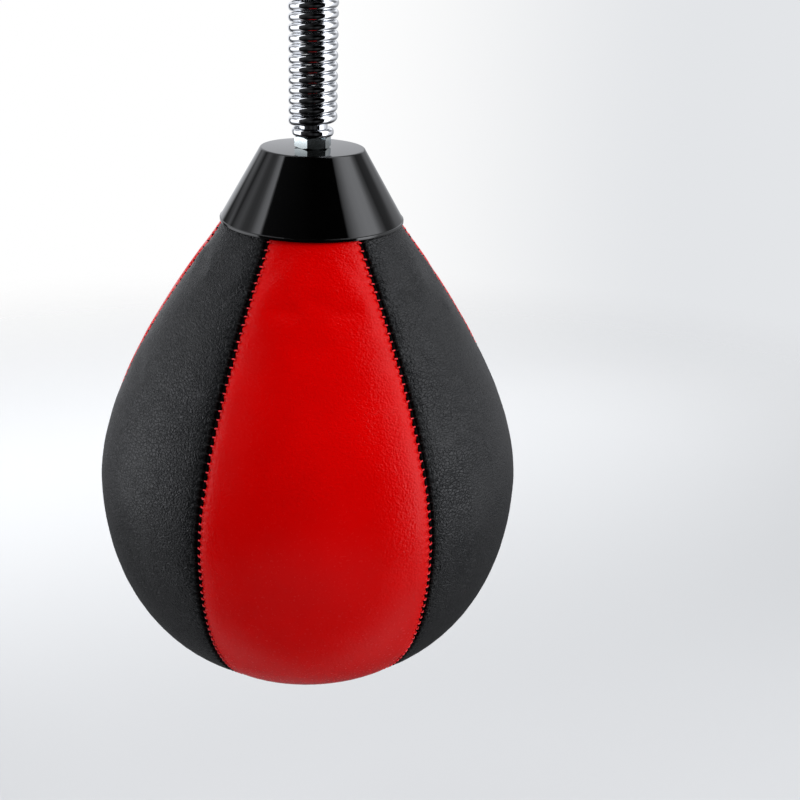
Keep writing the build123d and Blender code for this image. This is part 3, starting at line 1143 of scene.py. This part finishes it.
@dataclass
class LeatherBag:
    """Six sewn gores with turned edges, welts and stitches over the lining.

    The cover's half profile is a neck line and two curves that meet at the waist.

    Attributes:
        cap_height: From the cap's top to its rim.
        waist_depth: From the cap's top to the widest place.
        shoulder_angle: Lean of the profile at the cap's rim, in degrees.
        front_angle: Bearing of the first gore's middle, in degrees.
        seam_gap: Width of the groove between two gores.
        tip_radius: Where the gores end, round the valve.
        roll: Radius of a red gore's turned edge; black_roll is a black one's.
        hole_distance: From a gore's edge to its needle holes.
        pucker_depth: How far a stitch pulls the leather down; heave is the rise between two.
        shoulder_depth: How far the leather sinks toward the seam.
        slack_depth: Uneven fullness beside a seam.
        bite: How far a stitch pulls the edge sideways.
        dull_shaded_edge: Width of a black gore's edge that is made rough and painted dark as shade from the
            groove.
        full_edge: Half width of a gore below which its turned edge narrows.
        edge_steps: Distances of the mesh's columns from a gore's edge, in millimetres.
        groove_distance: From a gore's edge out to where the thread dives into the groove.
        crown: How far a gore swells in its middle.
        most_swell: The most that the cloth run may add.
    """

    cap_height: float = 38.5 * MM
    waist_depth: float = 188.0 * MM
    shoulder_angle: float = 30.0
    pole_handle: float = 70.0 * MM
    waist_handle_down: float = 84.0 * MM
    waist_handle_up: float = 59.0 * MM
    shoulder_handle: float = 18.0 * MM
    neck_radius: float = 47.9 * MM
    neck_slope: float = math.atan2(48.2 - 24.9, 35.5)
    neck_depth: float = 10.0 * MM
    panel_count: int = 6
    front_angle: float = -90.0
    seam_gap: float = 2.2 * MM
    thickness: float = 2.6 * MM
    tip_radius: float = 6.2 * MM
    patch_radius: float = 20.0 * MM
    roll: float = 1.5 * MM
    black_roll: float = 1.4 * MM
    stitch_pitch: float = 4.4 * MM
    hole_distance: float = 1.35 * MM
    row_step: float = 0.73 * MM
    hidden_step: float = 4.0 * MM
    edge_steps: tuple[float, ...] = (1.75, 2.2, 2.9, 4.0, 5.5, 7.5, 10.0)
    sheet_ripple: float = 0.25 * MM
    first_stitch: float = 1.5 * MM
    last_stitch: float = 1.0 * MM
    pucker_depth: float = 0.55 * MM
    pucker_reach: float = 2.4 * MM
    heave: float = 0.22 * MM
    shoulder_depth: float = 0.45 * MM
    shoulder_reach: float = 3.2 * MM
    red_hole_depth: float = 0.55 * MM
    black_hole_depth: float = 0.2 * MM
    hole_radius: float = 0.42 * MM
    hole_length: float = 0.5 * MM
    slack_depth: float = 0.28 * MM
    slack_reach: float = 11.0 * MM
    bite: float = 0.30 * MM
    bite_reach: float = 1.6 * MM
    dull_shaded_edge: float = 1.0 * MM
    full_edge: float = 14.0 * MM
    welt_recess: float = 1.5 * MM
    welt_crown: float = 0.6 * MM
    welt_step: float = 2.2 * MM
    thread_radius: float = 0.4 * MM
    thread_sink: float = 1.0 * MM
    thread_rise: float = 0.22 * MM
    groove_distance: float = 0.7 * MM
    crown: float = 1.2 * MM
    most_swell: float = 0.8 * MM
    pressure: float = 0.5
    frames: int = 20
    coarse_rows: int = 60
    coarse_columns: int = 17
    centre_cells: int = 12
    profile: np.ndarray = field(init=False)

    def __post_init__(self) -> None:
        """Work out the cover's half profile from the CAD boxes."""
        self.cap_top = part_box("top_cap")[1][2]
        self.radius = CAD_BOX[1][0]
        self.depth = self.cap_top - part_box("red_panel_1")[0][2]
        self.profile = self.outline()
        steps = np.linalg.norm(np.diff(self.profile, axis=0), axis=1)
        self.run = np.concatenate([[0.0], np.cumsum(steps)])
        slope = np.gradient(self.profile, self.run, axis=0)
        self.outward = np.stack([-slope[:, 1], slope[:, 0]], axis=1)
        self.outward /= np.linalg.norm(self.outward, axis=1)[:, None]
        self.rim_run = float(np.interp(-(self.cap_top - self.cap_height), -self.profile[:, 1], self.run))
        self.tip_run = self.run_at_radius(self.tip_radius)
        self.patch_run = self.run_at_radius(self.patch_radius)
        self.stitch_start = self.rim_run + self.first_stitch
        sewn = self.patch_run - self.last_stitch - self.stitch_start
        self.pitch = sewn / round(sewn / self.stitch_pitch)
        self.stitch_end = self.stitch_start + sewn

    def outline(self) -> np.ndarray:
        """Return the profile (radius, height) from the neck's end down to the pole."""
        shoulder = math.radians(self.shoulder_angle)
        waist = np.array([self.radius, -self.waist_depth])
        rim = np.array([self.neck_radius, -self.cap_height])
        pole = np.array([0.0, -self.depth])
        t = np.linspace(0, 1, 700)[:, None]

        def bezier(*points: np.ndarray) -> np.ndarray:
            """One cubic Bezier through four control points."""
            a, b, c, d = points
            return (1 - t) ** 3 * a + 3 * (1 - t) ** 2 * t * b + 3 * (1 - t) * t * t * c + t**3 * d

        upper = bezier(
            rim,
            rim + self.shoulder_handle * np.array([math.sin(shoulder), -math.cos(shoulder)]),
            waist + [0, self.waist_handle_up],
            waist,
        )
        lower = bezier(waist, waist - [0, self.waist_handle_down], pole + [self.pole_handle, 0], pole)
        rise = self.cap_height - self.neck_depth
        neck = rim + np.linspace(1, 0, 40)[:, None] * np.array([-rise * math.tan(self.neck_slope), rise])
        line = np.vstack([neck[:-1], upper, lower[1:]])
        return line + [0, self.cap_top]

    def run_at_radius(self, radius: float) -> float:
        """Distance along the profile where the lower cover narrows to a radius."""
        half = self.profile[:, 0].argmax()
        return float(np.interp(-radius, -self.profile[half:, 0], self.run[half:]))

    def surface(self, run: np.ndarray, angle: np.ndarray, height: np.ndarray) -> np.ndarray:
        """Points of the cover at a run, an angle and a height off its face.

        Args:
            run: Distance along the profile.
            angle: Azimuth in radians.
            height: Height off the face, negative inwards.

        Returns:
            Points in metres, with the shape of the inputs and a last axis of three.
        """
        radius, level = (np.interp(run, self.run, self.profile[:, k]) for k in (0, 1))
        out, up = (np.interp(run, self.run, self.outward[:, k]) for k in (0, 1))
        reach = np.maximum(radius + height * out, 0.0)
        return np.stack([reach * np.cos(angle), reach * np.sin(angle), level + height * up], axis=-1)

    def half_angle(self, radius: np.ndarray) -> np.ndarray:
        """Half the angle that a gore spans at a radius, short of its seams."""
        return math.pi / self.panel_count - np.arcsin(
            np.clip(self.seam_gap / 2 / np.maximum(radius, 1e-6), 0, 0.5)
        )

    def coarse_sheet(self, index: int) -> tuple[np.ndarray, np.ndarray]:
        """Lay out a gore's plain face for the cloth run.

        Args:
            index: Number of the gore.

        Returns:
            Points by row and column, and their pin weights.
        """
        runs = np.linspace(self.rim_run, self.tip_run, self.coarse_rows)
        centre = math.radians(self.front_angle + 360 / self.panel_count * index)
        share = np.linspace(-1, 1, self.coarse_columns)
        radius = np.interp(runs, self.run, self.profile[:, 0])
        angle = centre + self.half_angle(radius)[:, None] * share[None, :]
        ripple = self.sheet_ripple * wander(31 + index, runs, (0.031, 0.019, 0.047))[:, None] * (
            1 - share[None, :] ** 2
        )
        points = self.surface(np.repeat(runs[:, None], len(share), 1), angle, ripple)
        pins = np.zeros(points.shape[:2])
        pins[:, [0, -1]] = 1
        pins[[0, 1, -1], :] = 1
        return points, pins

    def swell(self) -> list[np.ndarray]:
        """Round the gores between their seams by rule, then settle them with cloth.

        Returns:
            For each gore, how far each point of its coarse face moves.
        """
        sheets = [self.coarse_sheet(i) for i in range(self.panel_count)]
        share = np.linspace(-1, 1, self.coarse_columns)
        level = self.crown * (1 - share[None, :] ** 4) * np.sin(
            np.pi * np.linspace(0, 1, self.coarse_rows)
        )[:, None] ** 0.5
        crowns = []
        for points, _ in sheets:
            centre = points[:, self.coarse_columns // 2] * [1, 1, 0]
            facing = centre / np.linalg.norm(centre, axis=1)[:, None]
            crowns.append(level[:, :, None] * facing[:, None, :])
        scene = bpy.context.scene
        clothed = []
        for index, (points, pins) in enumerate(sheets):
            rows, columns = points.shape[:2]
            cells = [
                (r * columns + c, (r + 1) * columns + c, (r + 1) * columns + c + 1, r * columns + c + 1)
                for r in range(rows - 1)
                for c in range(columns - 1)
            ]
            sheet = make_object(f"gore_cloth_{index}", points.reshape(-1, 3), cells)
            group = sheet.vertex_groups.new(name="sewn")
            for number in np.flatnonzero(pins.reshape(-1) > 0):
                group.add([int(number)], 1.0, "REPLACE")
            cloth = sheet.modifiers.new("leather", "CLOTH")
            settings = cloth.settings
            settings.quality = 6
            settings.mass = 0.5
            settings.tension_stiffness = settings.compression_stiffness = 200
            settings.shear_stiffness = 80
            settings.bending_stiffness = 10
            settings.air_damping = 4
            settings.vertex_group_mass = "sewn"
            settings.shrink_min = settings.shrink_max = -0.0008
            settings.use_pressure = True
            settings.uniform_pressure_force = self.pressure
            settings.effector_weights.gravity = 0
            cloth.point_cache.frame_start, cloth.point_cache.frame_end = 1, self.frames
            clothed.append((sheet, points))
        for number in range(1, self.frames + 1):
            scene.frame_set(number)
        graph = bpy.context.evaluated_depsgraph_get()
        moves = []
        for (sheet, points), crown in zip(clothed, crowns):
            mesh = bpy.data.meshes.new_from_object(sheet.evaluated_get(graph))
            ends = np.empty(len(mesh.vertices) * 3)
            mesh.vertices.foreach_get("co", ends)
            move = ends.reshape(points.shape) - points
            length = np.linalg.norm(move, axis=2, keepdims=True)
            LOG.info(
                "%s: moves %.2f mm at most, %.2f mm on average",
                sheet.name,
                length.max() / MM,
                length.mean() / MM,
            )
            move *= np.minimum(1.0, self.most_swell / np.maximum(length, 1e-9))
            moves.append(crown + move)
        for sheet, _ in clothed:
            bpy.data.objects.remove(sheet)
        scene.frame_set(1)
        return moves

    def stitch_wave(self, run: np.ndarray) -> tuple[np.ndarray, np.ndarray]:
        """Where rows stand between the stitches.

        Args:
            run: Distance along the profile.

        Returns:
            1 at a stitch and 0 between two, and the distance to the nearest stitch.
        """
        turns = (run - self.stitch_start) / self.pitch
        off = (turns - np.round(turns)) * self.pitch
        fade = 2 * MM
        begun = np.clip((run - self.stitch_start + fade / 2) / fade, 0, 1)
        sewn = begun * np.clip((self.stitch_end + fade - run) / fade, 0, 1)
        return sewn * (0.5 + 0.5 * np.cos(2 * math.pi * turns)), np.where(sewn > 0.5, np.abs(off), 1.0)

    def sewing(
        self, index: int, runs: np.ndarray, lateral: np.ndarray, reach: np.ndarray
    ) -> tuple[np.ndarray, np.ndarray, np.ndarray]:
        """Work out what the stitches do to a gore's face.

        Args:
            index: Number of the gore.
            runs: Distance of each row along the profile.
            lateral: Distance of each point from the gore's middle line.
            reach: Distance of each point from the nearest edge.

        Returns:
            The face's rise, its shift sideways, and where it gets painted shade and a rougher surface.
        """

        def either_edge(
            left: int, right: int, left_sizes: Sequence[float], right_sizes: Sequence[float]
        ) -> np.ndarray:
            """Give the two edges waves of their own."""
            waves = wander(left + index, runs, left_sizes), wander(right + index, runs, right_sizes)
            return np.where(lateral < 0, waves[0][:, None], waves[1][:, None])

        red = index % 2 == 0
        wave, gap = self.stitch_wave(runs)
        near = np.exp(-((reach / self.pucker_reach) ** 2))
        tug = 1.0 + 0.5 * either_edge(7, 57, (0.021, 0.034), (0.018, 0.041))
        rise = self.heave * near * (1 - wave)[:, None] - self.pucker_depth * near * (wave**1.5)[:, None] * tug
        rise -= self.shoulder_depth * np.exp(-((reach / self.shoulder_reach) ** 2))
        off_line = ((reach - self.hole_distance) / self.hole_radius) ** 2
        hole_shade = np.exp(-off_line - (gap[:, None] / self.hole_length) ** 2)
        rise -= (self.red_hole_depth if red else self.black_hole_depth) * hole_shade
        # Painted shade: the needle holes, and on a black gore also the edge beside the groove, are marked to
        # be painted dark and made rough.
        dull_where_shaded = hole_shade if red else np.maximum(0.5 * hole_shade, np.clip(1.2 - reach / self.dull_shaded_edge, 0, 1))
        slack = either_edge(101, 151, (0.024, 0.037, 0.061), (0.027, 0.043, 0.055))
        rise += self.slack_depth * slack * np.exp(
            -((reach / self.slack_reach) ** 2)
        ) * (runs > self.rim_run)[:, None]
        shift = self.bite * (wave - 0.5)[:, None] * np.exp(-reach / self.bite_reach) * np.sign(lateral)
        return rise, shift, dull_where_shaded

    def panel(self, index: int, move: np.ndarray) -> None:
        """Build one gore as a closed leather shell with rolled, sewn edges.

        Args:
            index: Number of the gore, from the front one round with the angle.
            move: How far the coarse face moved in the cloth run.
        """
        red = index % 2 == 0
        roll = self.roll if red else self.black_roll
        centre = math.radians(self.front_angle + 360 / self.panel_count * index)
        uncovered = self.rim_run - 2 * MM
        hidden = np.arange(0, uncovered, self.hidden_step)
        shown = np.arange(uncovered, self.tip_run, self.row_step)
        runs = np.concatenate([hidden, shown, [self.tip_run]])
        radius = np.interp(runs, self.run, self.profile[:, 0])
        span = self.half_angle(radius)
        width = radius * span
        lean = np.linspace(0, math.pi / 2, 5)
        flat = np.array(self.edge_steps) * MM
        flat = flat[flat > roll]
        edge = np.concatenate([[0.0], roll * (1 - np.cos(lean)), flat])
        sunk = np.concatenate([[self.thickness], roll * (1 - np.sin(lean)), np.zeros(len(flat))])
        squeeze = np.minimum(1.0, width / self.full_edge)
        side = edge[None, :] * squeeze[:, None]
        across = np.linspace(-1, 1, self.centre_cells + 1)[1:-1][None, :] * (width[:, None] - side[:, -1:])
        left, right = side - width[:, None], (width[:, None] - side)[:, ::-1]
        lateral = np.concatenate([left, across, right], axis=1)
        plunge = np.concatenate([sunk, np.zeros(across.shape[1]), sunk[::-1]])[None, :] * squeeze[:, None]
        reach = width[:, None] - np.abs(lateral)
        rise, shift, dull_where_shaded = self.sewing(index, runs, lateral, reach)
        angle = centre + (lateral - shift) / np.maximum(radius, 1e-6)[:, None]
        outer = self.surface(np.repeat(runs[:, None], lateral.shape[1], 1), angle, rise - plunge)
        row_at = np.clip((runs - self.rim_run) / (self.tip_run - self.rim_run), 0, 1) * (self.coarse_rows - 1)
        rows_moved = resample(move, row_at)
        share = np.clip(lateral / width[:, None], -1, 1)
        for r in range(len(runs)):
            outer[r] += resample(rows_moved[r], (share[r] + 1) / 2 * (self.coarse_columns - 1)) * (
                runs[r] > self.rim_run
            )
        inside = np.linspace(1, -1, 11)[1:-1][None, :] * width[:, None]
        inner = self.surface(
            np.repeat(runs[:, None], inside.shape[1], 1),
            centre + inside / radius[:, None],
            np.full(inside.shape, -self.thickness),
        )
        rings = np.concatenate([outer, inner], axis=1)
        node = f"{'red' if red else 'black'}_panel_{index // 2 + 1}"
        piece = make_object(f"sewn_{node}", rings.reshape(-1, 3), tube_faces(*rings.shape[:2]), 75.0)
        # This mark carries the painted shade of the holes and groove edges to the leather's material.
        marks = piece.data.attributes.new("hole_shade", "FLOAT", "POINT")
        values = np.concatenate([dull_where_shaded, np.zeros(inside.shape)], axis=1)
        marks.data.foreach_set("value", values.reshape(-1).astype(np.float32))
        (RED_LEATHER if red else BLACK_LEATHER).on(piece)
        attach(piece, Body.BAG.value)
        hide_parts(node)
        LOG.info("%s: %d faces", piece.name, len(piece.data.polygons))

    def welt(self, index: int) -> None:
        """Build the rounded strip in one groove.

        Args:
            index: Number of the seam.
        """
        angle = math.radians(self.front_angle + 360 / self.panel_count * (index + 0.5))
        runs = np.concatenate(
            [np.arange(0, self.tip_run - 1 * MM, self.welt_step), [self.tip_run - 0.5 * MM]]
        )
        lean = np.linspace(0, math.pi, 7)
        half = self.seam_gap / 2
        offset = np.concatenate([np.cos(lean) * half, [-half, half]])
        crest = (np.sin(lean) - 1) * self.welt_crown - self.welt_recess
        height = np.concatenate([crest, [-self.thickness] * 2])
        aside = np.array([-math.sin(angle), math.cos(angle), 0.0])
        grid = (len(runs), len(offset))
        heights = np.broadcast_to(height[None, :], grid)
        middle = self.surface(np.repeat(runs[:, None], len(offset), 1), np.full(grid, angle), heights)
        rings = middle + offset[None, :, None] * aside
        piece = make_object(
            f"groove_welt_{index + 1}", rings.reshape(-1, 3), tube_faces(*rings.shape[:2], flip=True), 60.0
        )
        WELT_LEATHER.on(piece)
        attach(piece, Body.BAG.value)
        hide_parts(f"seam_welt_{index + 1}")

    def guide(self, index: int, side: float) -> bpy.types.Mesh:
        """Draw the line that a seam's stitches follow.

        Args:
            index: Number of the seam.
            side: 1 for the gore with the larger angle, -1 for the other.

        Returns:
            A line of vertices that carries "outward" and "toward" vectors.
        """
        angle = math.radians(self.front_angle + 360 / self.panel_count * (index + 0.5))
        runs = np.linspace(
            self.stitch_start,
            self.stitch_end,
            8 * round((self.stitch_end - self.stitch_start) / self.pitch) + 1,
        )
        aside = side * np.array([-math.sin(angle), math.cos(angle), 0.0])
        line = self.surface(
            runs, np.full(runs.shape, angle), np.zeros(runs.shape)
        ) + aside * self.seam_gap / 2
        out = [np.interp(runs, self.run, self.outward[:, k]) for k in (0, 1)]
        facing = np.stack([out[0] * math.cos(angle), out[0] * math.sin(angle), out[1]], axis=1)
        mesh = bpy.data.meshes.new(f"stitch_guide_{index}")
        mesh.from_pydata([tuple(p) for p in line], [(k, k + 1) for k in range(len(line) - 1)], [])
        for label, vectors in (("outward", facing), ("toward", np.repeat(aside[None, :], len(line), 0))):
            mesh.attributes.new(label, "FLOAT_VECTOR", "POINT").data.foreach_set(
                "vector", vectors.reshape(-1).astype(np.float32)
            )
        return mesh

    def stitches(self) -> None:
        """Lay the thread loops along both sides of every seam."""
        pattern = stitch_pattern()
        for index in range(self.panel_count):
            for side in (-1.0, 1.0):
                red = (index % 2 == 0) == (side < 0)
                colour, finish = ("red", RED_THREAD) if red else ("black", BLACK_THREAD)
                values = {
                    "Pitch": self.pitch,
                    "Thread Radius": self.thread_radius,
                    "Hole Distance": self.hole_distance,
                    "Groove Distance": self.groove_distance,
                    "Depth": self.thread_sink,
                    "Rise": self.thread_rise,
                    "Seed": 11 + index,
                }
                thread = pattern.make(
                    f"seam_thread_{index + 1}_{colour}", self.guide(index, side), values, finish
                )
                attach(thread, Body.BAG.value)
            LOG.info("seam %d: welt and thread", index + 1)

    def build(self) -> None:
        """Build the gores, the welts and the stitches, and dress what is inside."""
        moves = self.swell()
        for index in range(self.panel_count):
            self.panel(index, moves[index])
            self.welt(index)
        self.stitches()
        BLACK_LEATHER.on_node("bottom_patch")
        LINING_CLOTH.on_node("bag_lining")
        BUTYL.on_node("bladder", "air_valve")


@dataclass(frozen=True)
class Softbox:
    """One lamp that faces the bag and lights it, but is not mirrored or seen.

    Attributes:
        name: Name of the lamp.
        place: Where it hangs, in metres.
        side: Length of its square face, in metres.
        watts: Its power.
    """

    name: str
    place: tuple[float, float, float]
    side: float
    watts: float


@dataclass
class Studio:
    """Pale floor, soft lights, the mirrored room and the camera.

    Attributes:
        lens: Focal length in millimetres over a 36 mm frame.
        distance: From the camera to the bag's axis.
        above_cap: From the cap's top up to the camera.
        turn: Turn of the camera round the bag, in degrees.
        floor_gap: From the bag down to the floor.
        floor_shade: Where the floor goes from its darker near colour, which is painted shade, to its lighter
            far colour, in metres back.
        aim: The place that the lamps face.
        mirrored_high: Bearing and brightness of what polished surfaces mirror above.
        mirrored_low: The same near the horizon.
        low_to_high: Upward slopes between which one passes into the other.
        dim_slopes: Downward slopes between which the mirrored room dims, to dim_share.
        backdrop_edges: Sideways directions between which the backdrop goes from white to its painted shade on
            the right.
    """

    lens: float = 46.83
    distance: float = 557.4 * MM
    above_cap: float = 101.95 * MM
    pitch: float = 23.87
    roll: float = 2.468
    yaw: float = 5.328
    turn: float = -1.617
    floor_gap: float = 0.38
    floor_radius: float = 2.1
    floor_fade: float = 1.2
    floor_slant: float = -0.3
    floor_shade: tuple[float, float] = (0.3, 1.2)
    floor_near_shaded: str = "#C5C7CA"
    floor_far: str = "#F2F4F7"
    low_to_high: tuple[float, float] = (0.12, 0.3)
    dim_slopes: tuple[float, float] = (-0.55, -0.06)
    dim_share: float = 0.18
    backdrop_edges: tuple[float, float] = (0.02, 0.38)
    backdrop_left: str = "#FFFFFF"
    backdrop_right_shaded: str = "#E3E5E8"
    mirror_tint: str = "#F8FAFF"
    aim: tuple[float, float, float] = (0.0, 0.0, -0.32)
    softboxes: tuple[Softbox, ...] = (
        Softbox("right_key", (1.6, -0.6, 0.5), 1.2, 35.0),
        Softbox("left_fill", (-1.6, -0.7, 0.3), 1.5, 14.0),
        Softbox("front_fill", (0.0, -1.8, 0.4), 1.5, 1.0),
        Softbox("floor_bounce", (0.0, -0.7, -0.85), 0.9, 1.6),
        Softbox("top_softbox", (-0.5, 0.7, 1.7), 2.6, 78.0),
    )
    mirrored_high: tuple[tuple[float, float], ...] = (
        (-180.0, 1.00), (-140.0, 0.90), (-131.0, 0.50), (-124.0, 0.12), (-118.0, 0.50), (-112.0, 0.75),
        (-104.0, 0.45), (-98.0, 0.45), (-92.0, 0.70), (-85.0, 1.90), (-79.0, 2.40), (-75.0, 0.05),
        (0.0, 0.00), (51.0, 0.00), (54.0, 0.70), (62.0, 1.60), (72.0, 2.60), (83.0, 2.90), (94.0, 2.60),
        (103.0, 0.90), (111.0, 0.22), (128.0, 0.22), (150.0, 1.20), (180.0, 1.00),
    )
    mirrored_low: tuple[tuple[float, float], ...] = (
        (-180.0, 1.00), (-150.0, 1.00), (-144.0, 0.10), (-133.0, 0.10), (-128.0, 1.20), (-105.0, 2.60),
        (-80.0, 2.80), (-73.0, 2.60), (-69.0, 0.05), (-35.0, 0.01), (-12.0, 0.03), (0.0, 0.01),
        (18.0, 0.04), (34.0, 0.01), (54.0, 0.00), (57.0, 5.00), (74.0, 5.00), (88.0, 1.20),
        (135.0, 0.60), (150.0, 0.50), (165.0, 0.60), (180.0, 1.00),
    )

    def floor(self) -> None:
        """Lay the round paper floor, with painted shade that darkens it near the camera and towards the
        right; the room mirrored in the gloss stands in for it there.
        """
        level = CAD_BOX[0][2] - self.floor_gap
        material = bpy.data.materials.new("Matt background paper")
        material.use_nodes = True
        tree = material.node_tree
        shader = tree.nodes["Principled BSDF"]
        place = add_node(tree, "ShaderNodeTexCoord").outputs["Object"]
        part = add_node(tree, "ShaderNodeSeparateXYZ", {0: place})
        # Painted shade: the paper's colour darkens towards the camera and to the right, where less light
        # falls on it.
        slant = add_maths(tree, "MULTIPLY_ADD", part.outputs[0], self.floor_slant, part.outputs[1])
        far = add_range(tree, slant, *self.floor_shade, smooth=True)
        floor_tone_with_painted_shade = add_mix(tree, far, linear(self.floor_near_shaded), linear(self.floor_far))
        feed(shader, {"Base Color": floor_tone_with_painted_shade, "Roughness": 0.95, "Specular IOR Level": 0.0})
        centre = add_node(tree, "ShaderNodeVectorMath", {0: place, 1: (1.0, 1.0, 0.0)}, operation="MULTIPLY")
        reach = add_node(tree, "ShaderNodeVectorMath", {0: centre.outputs[0]}, operation="LENGTH")
        fade = add_range(tree, reach.outputs["Value"], self.floor_fade, self.floor_radius, smooth=True)
        clear = add_node(tree, "ShaderNodeBsdfTransparent")
        thinned = add_node(tree, "ShaderNodeMixShader", {0: fade, 1: shader.outputs[0], 2: clear.outputs[0]})
        tree.links.new(thinned.outputs[0], tree.nodes["Material Output"].inputs["Surface"])
        bearings = np.radians(np.linspace(0, 360, 97))
        rim = [(self.floor_radius * math.cos(b), self.floor_radius * math.sin(b), level) for b in bearings]
        paper = make_object(
            "paper_floor", [(0.0, 0.0, level), *rim], [(0, k, k + 1) for k in range(1, len(rim))]
        )
        paper.data.materials.append(material)
        paper.visible_glossy = False

    def hang(self, box: Softbox) -> None:
        """Hang one softbox, facing the bag.

        Args:
            box: The lamp's place, size and power.
        """
        light = bpy.data.lights.new(box.name, "AREA")
        light.shape = "SQUARE"
        light.size = box.side
        light.energy = box.watts
        lamp = bpy.data.objects.new(box.name, light)
        bpy.context.scene.collection.objects.link(lamp)
        facing = (Vector(self.aim) - Vector(box.place)).to_track_quat("-Z", "Y").to_matrix().to_4x4()
        lamp.matrix_world = Matrix.Translation(box.place) @ facing
        lamp.visible_glossy = lamp.visible_camera = False

    def surroundings(self) -> None:
        """Set what the gloss mirrors: two tall softboxes beside a dark opening; the camera sees a backdrop
        with painted shade on its right.
        """
        world = bpy.data.worlds.new("Studio")
        bpy.context.scene.world = world
        world.use_nodes = True
        tree = world.node_tree
        tree.nodes.clear()
        way = add_node(tree, "ShaderNodeTexCoord").outputs["Generated"]
        part = add_node(tree, "ShaderNodeSeparateXYZ", {0: way})
        forward = add_maths(tree, "MULTIPLY", part.outputs[1], -1.0)
        bearing = add_maths(tree, "ARCTAN2", part.outputs[0], forward)
        share = add_range(tree, bearing, -math.pi, math.pi)
        cool = linear(self.mirror_tint)
        brightest = max(level for _, level in self.mirrored_high + self.mirrored_low)
        bands = []
        for band in (self.mirrored_low, self.mirrored_high):
            ramp = add_node(tree, "ShaderNodeValToRGB", {0: share})
            stops = ramp.color_ramp.elements
            while len(stops) < len(band):
                stops.new(0.5)
            for stop, (angle, level) in zip(stops, band):
                stop.position = angle / 360 + 0.5
                stop.color = tuple(level / brightest * part for part in cool[:3]) + (1.0,)
            bands.append(ramp.outputs[0])
        height = add_range(tree, part.outputs[2], *self.low_to_high, smooth=True)
        mirrored = add_mix(tree, height, bands[0], bands[1])
        below = add_range(
            tree, part.outputs[2], *self.dim_slopes, self.dim_share * brightest, brightest, smooth=True
        )
        room = add_node(tree, "ShaderNodeBackground", {"Color": mirrored, "Strength": below})
        # Painted shade: the backdrop that the camera sees darkens towards the right, as if the light came
        # from the left.
        drift = add_range(tree, part.outputs[0], *self.backdrop_edges, smooth=True)
        paper = add_mix(tree, drift, linear(self.backdrop_left), linear(self.backdrop_right_shaded))
        behind = add_node(tree, "ShaderNodeBackground", {"Color": paper, "Strength": 1.0})
        seen = add_node(tree, "ShaderNodeLightPath").outputs["Is Camera Ray"]
        both = add_node(tree, "ShaderNodeMixShader", {0: seen, 1: room.outputs[0], 2: behind.outputs[0]})
        add_node(tree, "ShaderNodeOutputWorld", {"Surface": both.outputs[0]})
        world.cycles_visibility.diffuse = False

    def camera(self) -> None:
        """Place the camera a little above the cap, looking down at the bag."""
        pitch, roll, yaw = (math.radians(a) for a in (self.pitch, self.roll, self.yaw))
        forward = Vector((math.sin(yaw) * math.cos(pitch), math.cos(yaw) * math.cos(pitch), -math.sin(pitch)))
        right = Vector((math.cos(yaw), -math.sin(yaw), 0))
        up = right.cross(forward)
        across = math.cos(roll) * right + math.sin(roll) * up
        upright = math.cos(roll) * up - math.sin(roll) * right
        axes = Matrix((across, upright, -forward)).transposed().to_4x4()
        eye = Vector((0, -self.distance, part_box("top_cap")[1][2] + self.above_cap))
        data = bpy.data.cameras.new("studio_camera")
        data.lens, data.sensor_width = self.lens, 36.0
        data.clip_start = 0.01
        data.dof.use_dof = False
        camera = bpy.data.objects.new("studio_camera", data)
        bpy.context.scene.collection.objects.link(camera)
        camera.matrix_world = Matrix.Rotation(
            math.radians(self.turn), 4, "Z"
        ) @ Matrix.Translation(eye) @ axes
        bpy.context.scene.camera = camera

    def build(self) -> None:
        """Set the stage, the lights and the camera."""
        self.floor()
        self.surroundings()
        for box in self.softboxes:
            self.hang(box)
        self.camera()
        bpy.context.scene.view_settings.view_transform = "Standard"
        LOG.info("studio: floor, %d softboxes, camera", len(self.softboxes))


def main() -> None:
    """Build every sub-assembly in order, then the studio."""
    logging.basicConfig(level=logging.INFO, format="%(name)s: %(message)s")
    for assembly in (CeilingMount(), CoilSpring(), NeckCap(), LeatherBag(), Studio()):
        assembly.build()


if __name__ == "__main__":
    main()
